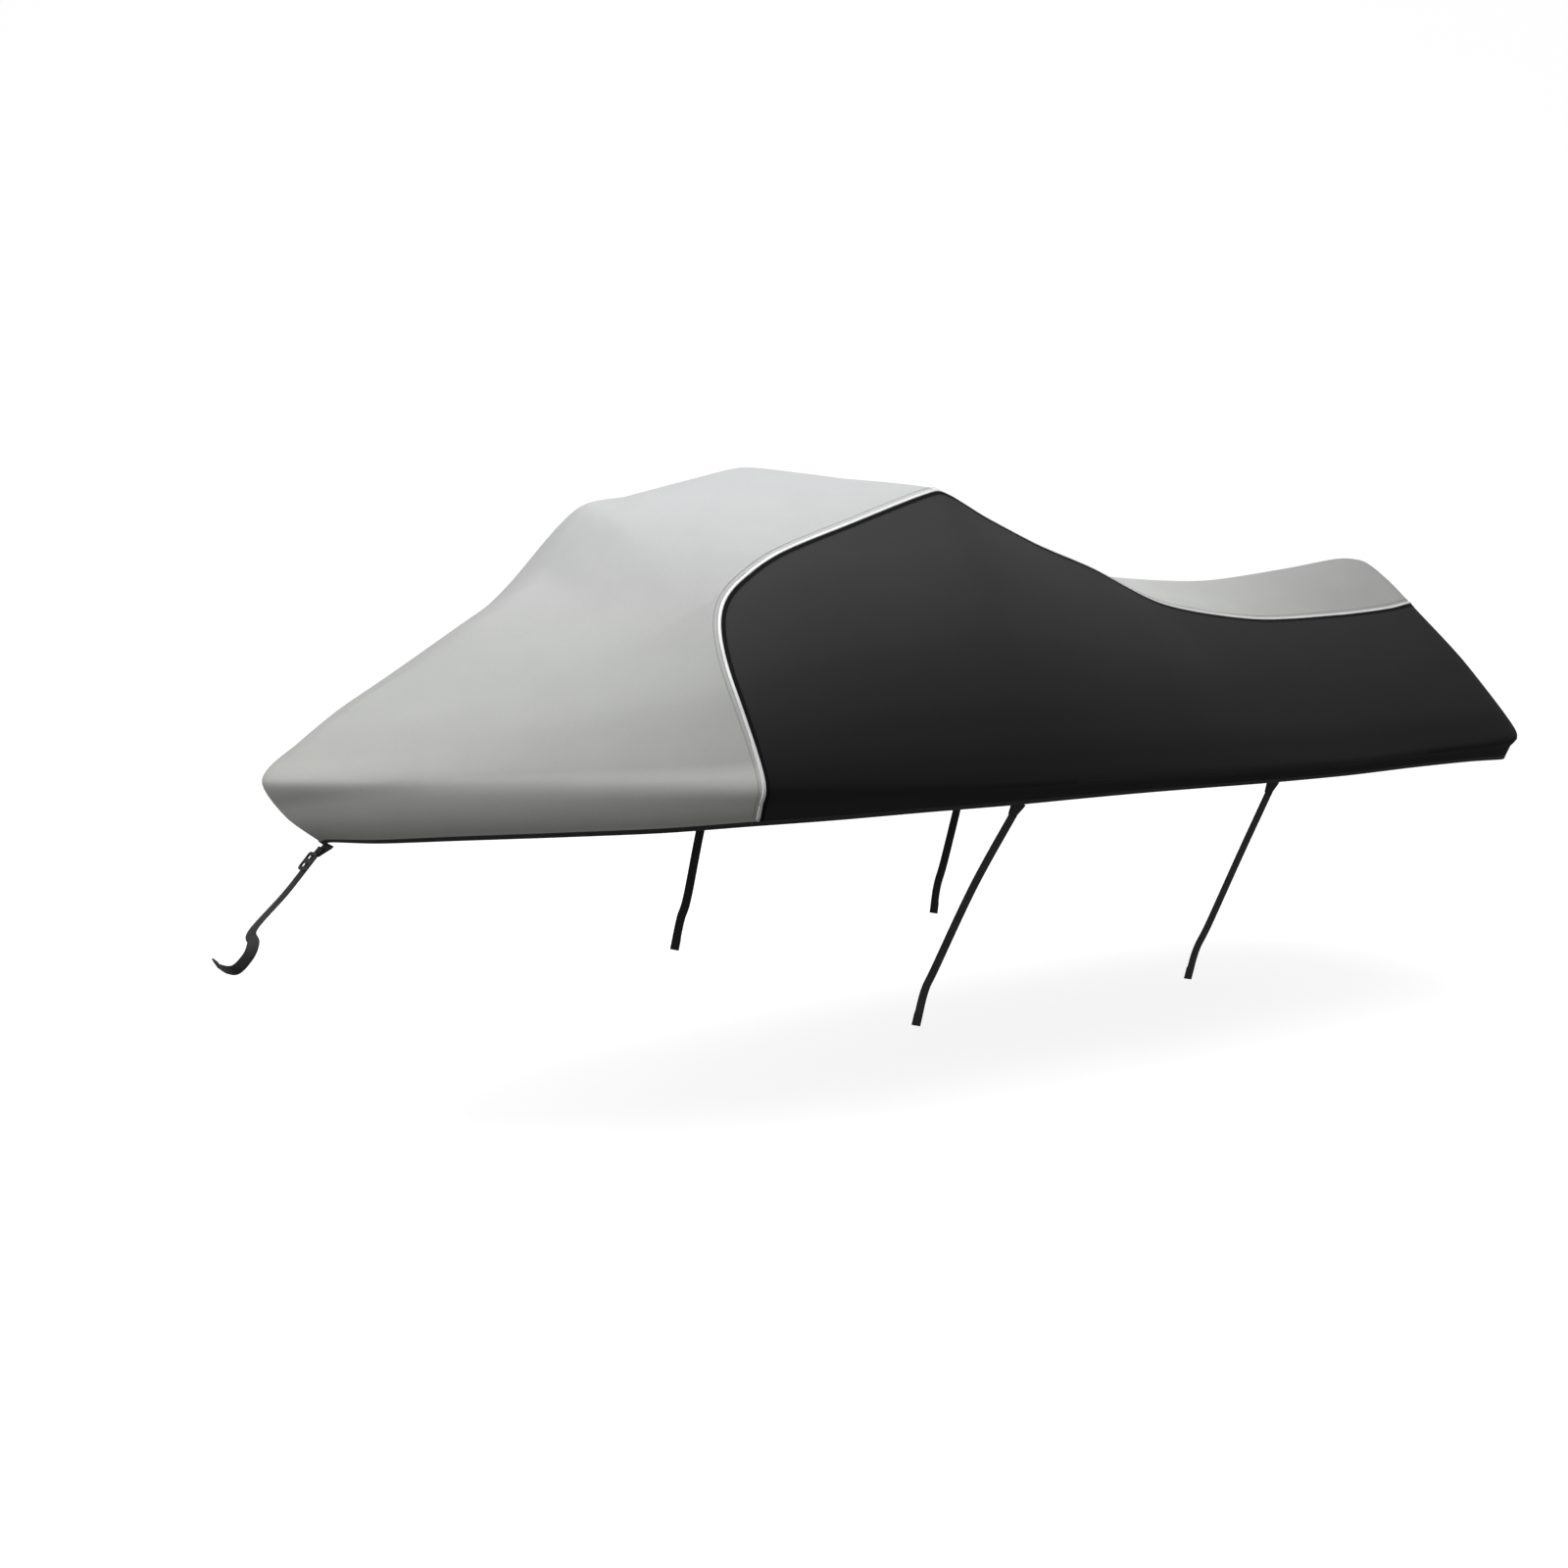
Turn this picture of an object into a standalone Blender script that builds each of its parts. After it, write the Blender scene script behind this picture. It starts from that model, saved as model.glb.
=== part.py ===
"""Fitted cover for a three-seat personal watercraft, in the taut shape it takes over the hull.

Metres, +Z up. The bow points along -Y, the stern along +Y and the port side is +X.
The origin is on the underside of the cloth at its highest point, where the cover bears
on the watercraft's steering pod; the watercraft itself is not part of this model.

The cloth is one surface, cloth(s, v). s counts stations round the port half, from the bow's
centreline to the stern's centreline, and v runs up each station: -1 at the hem, 0 at the
rub rail, where the cover is widest, 1 at the shoulder and 2 at the crown on the centreline.
Panels, piping and binding are cut out of that surface.
"""

from collections import namedtuple

import bmesh
import bpy
import numpy as np
from mathutils import Matrix, Vector

OBJECT_NAME = "personal_watercraft_cover"

# Cloth and trim, metres
CLOTH = 0.002  # thickness of a panel
SEWN_GAP = 0.0004  # clearance between pieces that are sewn together
PIPING_WIDTH = 0.008
PIPING_PROUD = 0.0022  # height of the piping above the cloth
BINDING_HEIGHT = 0.012
BINDING_LIP = 0.0008  # how far the binding stands out from the cloth on each side
TAPE_WIDTH = 0.012  # tape over the centre seam under the bow
TAPE = 0.001
FLANK_BULGE = 0.020  # outward swell of the sides between rub rail and shoulder
NOSE_BULGE = 0.006  # the same at the bow's tip

# Straps: flat webbing with a trapezoid tab at its root and a turned-under end
WEBBING_WIDTH = 0.025
WEBBING = 0.002
TAB_TOP_WIDTH = 0.046
TAB_MIDDLE_WIDTH = 0.044  # at the hem
BOW_TAB_BEND = 0.007  # how far the bow tab's sewn edge curves back with the bow
TAB_DROP = 0.030  # how far a tab hangs below the hem
TAB_RISE = 0.006  # how far a tab reaches up behind the binding
TURNED_END = 0.030  # length of the doubled end of a strap
STRAP_START = 0.008  # distance of a strap's sewn end below the hem

Station = namedtuple(
    "Station",
    "name crown_y crown_z shoulder_x shoulder_y shoulder_z belt_x belt_y belt_z hem_in hem_down"
    " pull",
)
# Heights are above the rub rail at the bow's tip, and y is measured from amidships. pull says
# how widely the surface rounds along the cover at the station: lower is crisper.
STATIONS = [
    Station("nose", -1.43, 0.180, 0.000, -1.570, 0.098, 0.000, -1.700, 0.000, 0.131, 0.140, 0.42),
    Station("nose side", -1.37, 0.207, 0.065, -1.535, 0.102, 0.090, -1.655, 0.005, 0.110, 0.137, 0.42),
    Station("cheek", -1.29, 0.246, 0.140, -1.450, 0.126, 0.195, -1.562, 0.010, 0.076, 0.134, 0.42),
    Station("bow", -1.20, 0.300, 0.208, -1.330, 0.160, 0.305, -1.420, 0.015, 0.052, 0.128, 0.42),
    Station("hood", -1.11, 0.350, 0.265, -1.190, 0.210, 0.415, -1.240, 0.017, 0.042, 0.124, 0.42),
    Station("hood foot", -1.03, 0.404, 0.315, -1.035, 0.268, 0.507, -1.050, 0.012, 0.038, 0.116, 0.42),
    Station("screen", -0.92, 0.543, 0.372, -0.860, 0.350, 0.572, -0.865, 0.004, 0.035, 0.103, 0.30),
    Station("screen top", -0.80, 0.562, 0.385, -0.690, 0.443, 0.600, -0.660, -0.006, 0.034, 0.096, 0.42),
    Station("dash", -0.65, 0.590, 0.375, -0.480, 0.503, 0.608, -0.430, -0.018, 0.033, 0.089, 0.42),
    Station("grips", -0.49, 0.616, 0.360, -0.222, 0.567, 0.610, -0.180, -0.034, 0.033, 0.081, 0.20),
    Station("behind grips", -0.28, 0.580, 0.340, -0.060, 0.500, 0.608, 0.030, -0.046, 0.033, 0.074, 0.42),
    Station("dip", -0.02, 0.480, 0.305, 0.130, 0.428, 0.604, 0.230, -0.058, 0.033, 0.068, 0.42),
    Station("seat rise", 0.28, 0.387, 0.265, 0.330, 0.365, 0.598, 0.430, -0.070, 0.033, 0.064, 0.42),
    Station("seat front", 0.60, 0.320, 0.220, 0.610, 0.262, 0.590, 0.640, -0.082, 0.033, 0.061, 0.42),
    Station("seat low", 0.95, 0.288, 0.200, 0.950, 0.206, 0.577, 0.930, -0.095, 0.034, 0.058, 0.42),
    Station("seat back", 1.25, 0.304, 0.200, 1.250, 0.200, 0.562, 1.200, -0.096, 0.035, 0.062, 0.42),
    Station("seat end", 1.46, 0.323, 0.200, 1.440, 0.206, 0.543, 1.430, -0.100, 0.036, 0.066, 0.42),
    Station("quarter", 1.54, 0.318, 0.195, 1.530, 0.215, 0.505, 1.600, -0.098, 0.026, 0.079, 0.42),
    Station("corner", 1.57, 0.308, 0.150, 1.585, 0.200, 0.410, 1.672, -0.103, 0.028, 0.082, 0.42),
    Station("stern side", 1.585, 0.303, 0.080, 1.620, 0.185, 0.210, 1.695, -0.106, 0.030, 0.084, 0.42),
    Station("stern", 1.59, 0.300, 0.000, 1.635, 0.178, 0.000, 1.700, -0.106, 0.030, 0.084, 0.42),
]
STERN = len(STATIONS) - 1
PEAK = next(station for station in STATIONS if station.name == "grips")
NAMES = [station.name for station in STATIONS]
SCREEN, SEAT_RISE = NAMES.index("screen"), NAMES.index("seat rise")
ORIGIN = np.array([0.0, PEAK.crown_y, PEAK.crown_z - CLOTH])
MIRROR_X = np.array([-1.0, 1.0, 1.0])

PULL_UP = 0.36  # how widely the surface rounds up a station, from hem to crown
PULL_BELT = 0.44  # the same at the rub rail
PULL_RIDGE = 0.18  # the same along the ridge that the handlebar holds up

# The front seam: the hood panel meets the side panel near the screen station, and the seam
# turns aft along the shoulder in a rounded corner. Crosswise joins run over the top at
# the corner's end and behind the handlebar.
SEAM_STATION = 6.08
SEAM_LEAN = 0.11  # stations by which the seam bows forward halfway up
SEAM_CORNER_RISE = 0.42
SEAM_CORNER_RUN = 0.76
SEAM_SQUARENESS = 2.5  # 2 would make the corner a plain ellipse
SEAM_INSET = 0.030  # levels by which the shoulder seam lies above the ridge, on the flat top
JOIN_STATION = 11.0  # crosswise join of the handlebar panel and the seat panel

# Levels up the seam at which panels are sampled, closest at the rub rail and the corner
LEVELS = [-1, -0.62, -0.32, -0.12, 0, 0.12, 0.26, 0.4, 0.52, 0.64, 0.75, 0.85, 0.92, 0.96, 1]
TOP_LEVELS = [1.2, 1.4, 1.6, 1.8, 2]  # the same from the shoulder to the crown
CELLS_TO_JOIN = 10  # from the seam's corner to the crosswise join
CELLS_TO_STERN = 20  # from the join to the stern

Strap = namedtuple("Strap", "name hem_y points")
# A side strap runs from the hem in and forward to the trailer's rail, then down over its face
SIDE_STRAPS = [
    Strap("front", -0.160, [(0.534, -0.252, -0.295), (0.494, -0.326, -0.476),
                            (0.487, -0.352, -0.530), (0.485, -0.373, -0.605)]),
    Strap("rear", 0.662, [(0.527, 0.585, -0.315), (0.502, 0.512, -0.478),
                          (0.492, 0.480, -0.542), (0.485, 0.462, -0.612)]),
]
BowPoint = namedtuple("BowPoint", "x y z face_x face_y face_z")
# The bow strap runs down and forward to the trailer's winch post, then turns over the post's
# port and front faces. The face columns give the way the webbing faces there.
BOW_STRAP_POINTS = [
    BowPoint(0.000, -1.660, -0.231, 0.0, -0.65, 0.76),
    BowPoint(0.000, -1.736, -0.300, 0.1, -0.65, 0.76),
    BowPoint(0.024, -1.747, -0.322, 0.7, -0.40, 0.50),
    BowPoint(0.040, -1.766, -0.345, 1.0, -0.10, 0.10),
    BowPoint(0.037, -1.793, -0.370, 0.7, -0.60, -0.40),
    BowPoint(0.006, -1.805, -0.374, 0.0, -0.84, -0.54),
    BowPoint(-0.045, -1.803, -0.371, 0.0, -0.84, -0.54),
]
BUCKLE_RING = 5  # ring of the bow strap on which the adjuster lies
BUCKLE_LIFT = 0.001  # clearance between the adjuster and the strap
BUCKLE_LENGTH = 0.046
BUCKLE_WIDTH = 0.038
BUCKLE_THICKNESS = 0.005
BUCKLE_SLOT = 0.009
BUCKLE_SLOT_AT = 0.010  # distance of each slot from the middle

GREY = (0.47, 0.48, 0.46, 1.0)
BLACK = (0.022, 0.022, 0.024, 1.0)
SILVER = (0.72, 0.73, 0.73, 1.0)


# ---------------------------------------------------------------- the cloth's surface


def curve(a, b, c, d, t, start_pull, end_pull):
    """Point and slope at t of the curve from b to c, with a before it and d after it."""
    start, end = start_pull * (c - a), end_pull * (d - b)
    square = 3 * (c - b) - 2 * start - end
    cube = 2 * (b - c) + start + end
    return b + start * t + square * t**2 + cube * t**3, start + 2 * square * t + 3 * cube * t**2


def belt_outward():
    """Outward direction in plan at each station of the rub rail."""
    belt = np.array([(row.belt_x, row.belt_y, 0.0) for row in STATIONS])
    belt = np.vstack([belt[1] * MIRROR_X, belt, belt[-2] * MIRROR_X])
    along = belt[2:] - belt[:-2]
    outward = np.stack([along[:, 1], -along[:, 0], 0 * along[:, 0]], axis=1)
    return outward / np.linalg.norm(outward, axis=1)[:, None]


def station_points(row, outward):
    """Hem, under, belt, flank, shoulder, top and crown of one station."""
    up = np.array([0.0, 0.0, 1.0])
    belt = np.array([row.belt_x, row.belt_y, row.belt_z])
    shoulder = np.array([row.shoulder_x, row.shoulder_y, row.shoulder_z])
    crown = np.array([0.0, row.crown_y, row.crown_z])
    hem = belt - outward * row.hem_in - up * row.hem_down
    under = (hem + belt) / 2 + outward * 0.12 * row.hem_in - up * 0.05 * row.hem_down
    taut = min(1.0, max(0.0, (row.belt_y + 1.6) / 0.5))
    flat_stern = min(1.0, max(0.0, (1.75 - row.belt_y) / 0.5))
    swell = NOSE_BULGE + (FLANK_BULGE - NOSE_BULGE) * taut
    flank = (belt + shoulder) / 2 + outward * swell * flat_stern + up * 0.012 * taut
    top = crown + (shoulder - crown) * np.array([0.52, 0.41, 0.41])
    if row.shoulder_x == 0:
        # On the centreline the profile itself turns from the end up to the crown.
        rounding = 0.004 * up if row.belt_y < 0 else np.array([0.0, 0.02, 0.02])
        top = (shoulder + crown) / 2 + rounding
    return [hem, under, belt, flank, shoulder, top, crown]


def surface_cage():
    """The stations' points, carried one step past every edge so that the slopes match there."""
    cage = np.array([station_points(row, out) for row, out in zip(STATIONS, belt_outward())])
    cage = np.concatenate([cage[1:2] * MIRROR_X, cage, cage[-2:-1] * MIRROR_X])
    below = 2 * cage[:, :1] - cage[:, 1:2]
    across = cage[:, -2:-1] * MIRROR_X
    return np.concatenate([below, cage, across], axis=1) - ORIGIN


CAGE = surface_cage()
STEPS_UP = CAGE.shape[1] - 3  # cage cells from hem to crown
BELT_ROW, SHOULDER_ROW = 3, 5  # rows of the rub rail and the shoulder in the cage
PULLS_UP = np.full(CAGE.shape[:2], PULL_UP)
PULLS_UP[:, BELT_ROW] = PULL_BELT
PULLS_UP[SCREEN + 1 : SEAT_RISE + 2, SHOULDER_ROW] = PULL_RIDGE


def ramp(value, start, end):
    """0 up to start and 1 from end on, with a smooth rise between them."""
    share = min(max((value - start) / (end - start), 0.0), 1.0)
    return share * share * (3 - 2 * share)


def cloth(s, v):
    """Point of the cloth's outer face, and its slopes along s and along v."""
    inset = SEAM_INSET * ramp(s, 5.8, 7.2) * (1 - ramp(s, 11.5, 13.5))
    up = (v + inset * (1 - ramp(abs(v - 1), 0.0, 0.4)) + 1) / 3 * STEPS_UP
    i, j = min(int(s), STERN - 1), min(int(up), STEPS_UP - 1)
    pulls = STATIONS[i].pull, STATIONS[i + 1].pull
    rows = [
        curve(*CAGE[i + k, j : j + 4], up - j, *PULLS_UP[i + k, j + 1 : j + 3]) for k in range(4)
    ]
    point, along = curve(*[row[0] for row in rows], s - i, *pulls)
    upward, _ = curve(*[row[1] for row in rows], s - i, *pulls)
    if s in (0, STERN) or v == 2:
        point[0] = 0.0
    return point, along, upward


def unit(vector):
    return vector / np.linalg.norm(vector)


def outward(s, v):
    """Outward direction of the cloth. The slopes vanish at the crown's two ends, so they are
    read just inside; on the centreline the direction lies in the plane of symmetry."""
    inset = 0.02
    _, along, upward = cloth(min(max(s, inset), STERN - inset), min(v, 2 - inset))
    normal = np.cross(along, upward)
    if s in (0, STERN) or v == 2:
        normal[0] = 0.0
    return unit(normal)


def seam_station(v):
    """Station of the front seam at level v, from the hem to the shoulder."""
    lean = SEAM_LEAN * np.sin(np.pi * min(max(v, 0), 1) / 1.15) ** 2
    turned = max(0.0, (v - 1 + SEAM_CORNER_RISE) / SEAM_CORNER_RISE)
    corner = 1 - (1 - turned**SEAM_SQUARENESS) ** (1 / SEAM_SQUARENESS)
    return SEAM_STATION - lean + SEAM_CORNER_RUN * corner


CORNER_STATION = seam_station(1)
HOOD_STATIONS = [*np.arange(0, CORNER_STATION - 0.25, 0.5), CORNER_STATION]
GRIP_STATIONS = [*np.linspace(CORNER_STATION, JOIN_STATION, CELLS_TO_JOIN + 1)]
SEAT_STATIONS = [*np.linspace(JOIN_STATION, STERN, CELLS_TO_STERN + 1)]
SHOULDER_STATIONS = GRIP_STATIONS + SEAT_STATIONS[1:]
# Both seams in order, from the hem up to the corner and aft to the stern's centreline
SEAM = [(seam_station(v), v) for v in LEVELS] + [(s, 1) for s in SHOULDER_STATIONS[1:]]


def seam_frames():
    """Point, outward and bowward/inboard direction at each place of the port seam."""
    points = np.array([cloth(s, v)[0] for s, v in SEAM])
    outwards = np.array([outward(s, v) for s, v in SEAM])
    runs = np.gradient(points, axis=0)
    runs[-1] = [-1.0, 0.0, 0.0]
    sides = np.cross(outwards, runs)
    return points, outwards, sides / np.linalg.norm(sides, axis=1)[:, None]


SEAM_POINTS, SEAM_OUTWARD, SEAM_SIDE = seam_frames()
CORNER = len(LEVELS) - 1  # index in SEAM of the corner's end


# ---------------------------------------------------------------- building pieces


def new_object(name, vertices, faces, material, collection):
    mesh = bpy.data.meshes.new(name)
    mesh.from_pydata([tuple(point) for point in vertices], [], faces)
    mesh.shade_smooth()
    mesh.materials.append(material)
    made = bpy.data.objects.new(name, mesh)
    collection.objects.link(made)
    return made


def sheet(name, grid, thickness, material, collection, half=False):
    """An open surface through a grid of points, thickened inward. A half ends in the plane
    of symmetry and is mirrored there."""
    columns = grid.shape[1]
    points = grid.reshape(-1, 3)
    faces = [
        (corner, corner + 1, corner + columns + 1, corner + columns)
        for corner in range(len(points) - columns)
        if (corner + 1) % columns
    ]
    made = new_object(name, points, faces, material, collection)
    if half:
        mirror = made.modifiers.new("starboard half", "MIRROR")
        mirror.use_axis = (True, False, False)
        mirror.merge_threshold = 0.0001
    solidify = made.modifiers.new("thickness", "SOLIDIFY")
    solidify.thickness = thickness
    solidify.offset = -1.0
    return made


def starboard(points):
    return np.asarray(points) * MIRROR_X


def sheet_pair(name, grid, thickness, material, collection):
    """The port sheet and its mirror image, whose columns run the other way so that it too
    faces outward."""
    sheet(f"{name}_port", grid, thickness, material, collection)
    sheet(f"{name}_starboard", starboard(grid[:, ::-1]), thickness, material, collection)


def swept(name, rings, material, collection):
    """A closed solid through rings of points, with capped ends."""
    size = len(rings[0])
    shape = bmesh.new()
    loops = [[shape.verts.new(point) for point in ring] for ring in rings]
    for before, after in zip(loops, loops[1:]):
        for k in range(size):
            shape.faces.new((before[k - 1], before[k], after[k], after[k - 1]))
    shape.faces.new(loops[0])
    shape.faces.new(loops[-1])
    bmesh.ops.recalc_face_normals(shape, faces=shape.faces)
    made = new_object(name, [], [], material, collection)
    shape.to_mesh(made.data)
    shape.free()
    return made


def swept_pair(name, rings, material, collection):
    swept(f"{name}_port", rings, material, collection)
    swept(f"{name}_starboard", [starboard(ring) for ring in rings], material, collection)


def rings_along(points, across, outwards, profiles):
    """The rings of a profile of (across, outward) distances at each point."""
    return [
        [point + side * a + out * b for a, b in profile]
        for point, side, out, profile in zip(points, across, outwards, profiles)
    ]


# ---------------------------------------------------------------- panels


def panel_grid(places):
    """The cloth's points at a grid of (s, v) places."""
    return np.array([[cloth(s, v)[0] for s, v in row] for row in places])


def trim_to_seam(grid, place, seam_index, towards):
    """Moves one place of a panel's edge off the seam, to leave room for the piping."""
    shift = SEAM_SIDE[seam_index] * towards * (PIPING_WIDTH / 2 + SEWN_GAP)
    grid[place] = SEAM_POINTS[seam_index] + shift


def trim_to_hem(grid, stations):
    """Raises a panel's first row to the top of the binding."""
    for column, s in enumerate(stations):
        grid[0, column] += unit(cloth(s, -1)[2]) * (BINDING_HEIGHT + SEWN_GAP)


def trim_to_join(grid, column, station, towards):
    """Moves a panel's last rows, from the shoulder to the crown, off a crosswise join."""
    levels = [1, *TOP_LEVELS]
    for row, v in zip(range(-len(levels), 0), levels):
        grid[row, column] += unit(cloth(station, v)[1]) * towards * SEWN_GAP / 2


def hood_places():
    """Rows of the hood panel's port half, each from the centreline to the front seam or,
    above the shoulder, to the crosswise join behind it."""
    shares = [s / CORNER_STATION for s in HOOD_STATIONS]
    low = [[(seam_station(v) * share, v) for share in shares] for v in LEVELS[:-1]]
    return low + [[(s, v) for s in HOOD_STATIONS] for v in [1, *TOP_LEVELS]]


def hood_panel():
    places = hood_places()
    grid = panel_grid(places)
    for row in range(CORNER + 1):
        trim_to_seam(grid, (row, -1), row, towards=1)
    trim_to_hem(grid, [s for s, _ in places[0]])
    trim_to_join(grid, -1, CORNER_STATION, towards=-1)
    grid[:, 0, 0] = 0.0
    grid[-1, :, 0] = 0.0
    return grid


def top_panel(stations, seam_start):
    """Port half of a grey panel behind the hood, whose seam with the side panel starts at
    the given index."""
    grid = panel_grid([[(s, v) for s in stations] for v in [1, *TOP_LEVELS]])
    for column in range(len(stations)):
        trim_to_seam(grid, (0, column), seam_start + column, towards=1)
    trim_to_join(grid, 0, stations[0], towards=1)
    if stations[-1] < STERN:
        trim_to_join(grid, -1, stations[-1], towards=-1)
    else:
        grid[:, -1, 0] = 0.0
    grid[-1, :, 0] = 0.0
    return grid


def side_places():
    """Rows of the port side panel, each from the front seam to the stern's centreline."""
    reach = STERN - CORNER_STATION
    shares = [(s - CORNER_STATION) / reach for s in SHOULDER_STATIONS]
    return [
        [(seam_station(v) + (STERN - seam_station(v)) * share, v) for share in shares]
        for v in LEVELS
    ]


def side_panel():
    places = side_places()
    grid = panel_grid(places)
    for row in range(CORNER):
        trim_to_seam(grid, (row, 0), row, towards=-1)
    for column in range(len(SHOULDER_STATIONS)):
        trim_to_seam(grid, (-1, column), CORNER + column, towards=-1)
    trim_to_hem(grid, [s for s, _ in places[0]])
    grid[:, -1, 0] = SEWN_GAP
    return grid


# ---------------------------------------------------------------- trim


def piping():
    """Rings of the light bead that fills the seam between a side panel and the grey ones."""
    half = PIPING_WIDTH / 2
    bead = [
        (-0.4 * half, -CLOTH),
        (0.4 * half, -CLOTH),
        (half, 0.4 * PIPING_PROUD),
        (0.45 * half, PIPING_PROUD),
        (-0.45 * half, PIPING_PROUD),
        (-half, 0.4 * PIPING_PROUD),
    ]
    points = SEAM_POINTS.copy()
    points[0] += unit(cloth(*SEAM[0])[2]) * (BINDING_HEIGHT + SEWN_GAP)
    points[-1, 0] = SEWN_GAP
    outwards, sides = SEAM_OUTWARD.copy(), SEAM_SIDE.copy()
    outwards[-1, 0] = sides[-1, 0] = 0.0
    return rings_along(points, sides, outwards, [bead] * len(points))


def hem_stations():
    """Stations at which the hood and side panels meet the binding, bow to stern."""
    hood = [s for s, _ in hood_places()[0]]
    return hood + [s for s, _ in side_places()[0]][1:]


def binding():
    """Outer face of the folded tape round the lower edge, port half."""
    columns = []
    for s in hem_stations():
        point, _, upward = cloth(s, -1)
        low = point + outward(s, -1) * BINDING_LIP
        columns.append([low, low + unit(upward) * BINDING_HEIGHT])
    grid = np.array(columns).transpose(1, 0, 2)
    grid[:, [0, -1], 0] = 0.0
    return grid


def bow_tape():
    """Outer face of the tape over the centre seam under the bow, from binding to tip."""
    levels = np.linspace(-1, 0, 9)
    points = np.array([cloth(0, v)[0] + outward(0, v) * (SEWN_GAP + TAPE) for v in levels])
    points[0] += unit(cloth(0, -1)[2]) * (BINDING_HEIGHT + 3 * SEWN_GAP)
    half = np.array([TAPE_WIDTH / 2, 0.0, 0.0])
    return np.stack([points - half, points + half], axis=1)


# ---------------------------------------------------------------- straps


def hem_at(y):
    """Station where the port hem passes y, found by halving."""
    low, high = 0.0, float(STERN)
    for _ in range(40):
        middle = (low + high) / 2
        if cloth(middle, -1)[0][1] < y:
            low = middle
        else:
            high = middle
    return low


def smooth_route(points, steps):
    """Points on one smooth curve through the given ones."""
    points = np.array(points)
    padded = np.vstack([2 * points[0] - points[1], points, 2 * points[-1] - points[-2]])
    route = [
        curve(*padded[k : k + 4], step / steps, 0.5, 0.5)[0]
        for k in range(len(points) - 1)
        for step in range(steps)
    ]
    return np.array(route + [points[-1]])


def webbing(route, faces):
    """Rings of a flat strap along route, facing the given ways, with its last stretch doubled,
    as a turned-under end is."""
    runs = np.gradient(route, axis=0)
    sides = np.cross(faces, runs)
    sides /= np.linalg.norm(sides, axis=1)[:, None]
    outwards = np.cross(runs, sides)
    outwards /= np.linalg.norm(outwards, axis=1)[:, None]
    lengths = np.linalg.norm(np.diff(route, axis=0), axis=1)
    left = np.append(np.cumsum(lengths[::-1])[::-1], 0.0)
    half = WEBBING_WIDTH / 2
    sections = []
    for remaining in left:
        depth = WEBBING * (2 if remaining < TURNED_END else 1)
        sections.append([(-half, -depth), (half, -depth), (half, 0.0), (-half, 0.0)])
    return rings_along(route, sides, outwards, sections)


def tab(root, down, across, face, front, bend=0.0):
    """Rings of the trapezoid of doubled webbing that joins a strap to the hem, behind the
    binding. bend is how far the ends of its sewn edge curve inward with the hem."""
    ends = [
        (-TAB_RISE, TAB_TOP_WIDTH, bend),
        (0.0, TAB_MIDDLE_WIDTH, bend),
        (TAB_DROP, WEBBING_WIDTH, 0.0),
    ]
    sections = []
    for _, width, turned in ends:
        face_line = [(-width / 2, front - turned), (0.0, front), (width / 2, front - turned)]
        back_line = [(side, depth - WEBBING) for side, depth in reversed(face_line)]
        sections.append(face_line + back_line)
    points = [root + down * drop for drop, _, _ in ends]
    return rings_along(points, [across] * 3, [face] * 3, sections)


def strap_root(s, first):
    """Where a strap leaves the hem at station s, for a strap whose first point is given: the
    hem's point, the way down the strap, its width's direction, its face, and the place of
    its tab's front along that face, just behind the binding."""
    root, along, upward = cloth(s, -1)
    down = unit(first - root)
    across = unit(along - down * np.dot(along, down))
    face = unit(np.cross(across, down))
    if np.dot(face, outward(s, -1) + unit(upward)) < 0:
        face = -face
    tilt = np.dot(face, outward(s, -1))
    front = min(BINDING_LIP * tilt, -(CLOTH + BINDING_LIP) * tilt) - SEWN_GAP
    return root, down, across, face, front


def strap_route(root, down, face, front, points):
    """The strap's line: it lies on the tab's outer face, then follows the given points."""
    on_tab = root + face * (front + SEWN_GAP + WEBBING)
    start = on_tab + down * STRAP_START
    seated = on_tab + down * TAB_DROP
    return smooth_route([start, seated] + points, 4)


def side_strap(strap):
    """Tab and webbing of one port strap."""
    points = [np.array(point) - ORIGIN for point in strap.points]
    hem_station = hem_at(strap.hem_y - ORIGIN[1])
    root, down, across, face, front = strap_root(hem_station, points[0])
    route = strap_route(root, down, face, front, points)
    return tab(root, down, across, face, front), webbing(route, [face] * len(route))


def bow_strap():
    """Tab and webbing of the strap at the bow, which twists to lie flat on the winch post."""
    points = [np.array(row[:3]) - ORIGIN for row in BOW_STRAP_POINTS]
    root, down, across, face, front = strap_root(0, points[0])
    route = strap_route(root, down, face, front, points)
    ways = smooth_route([face, face] + [np.array(row[3:]) for row in BOW_STRAP_POINTS], 4)
    faces = ways / np.linalg.norm(ways, axis=1)[:, None]
    below, above = route[BUCKLE_RING + 1], route[BUCKLE_RING - 1]
    lying = (route[BUCKLE_RING], unit(below - above), faces[BUCKLE_RING])
    bow_tab = tab(root, down, across, face, front, BOW_TAB_BEND)
    return bow_tab, webbing(route, faces), lying


def block(name, size, placing, collection):
    """A box of the given size in the placing's own axes."""
    mesh = bpy.data.meshes.new(name)
    shape = bmesh.new()
    bmesh.ops.create_cube(shape, size=1.0)
    bmesh.ops.scale(shape, vec=size, verts=shape.verts)
    shape.to_mesh(mesh)
    shape.free()
    made = bpy.data.objects.new(name, mesh)
    made.matrix_world = placing
    collection.objects.link(made)
    return made


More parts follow.
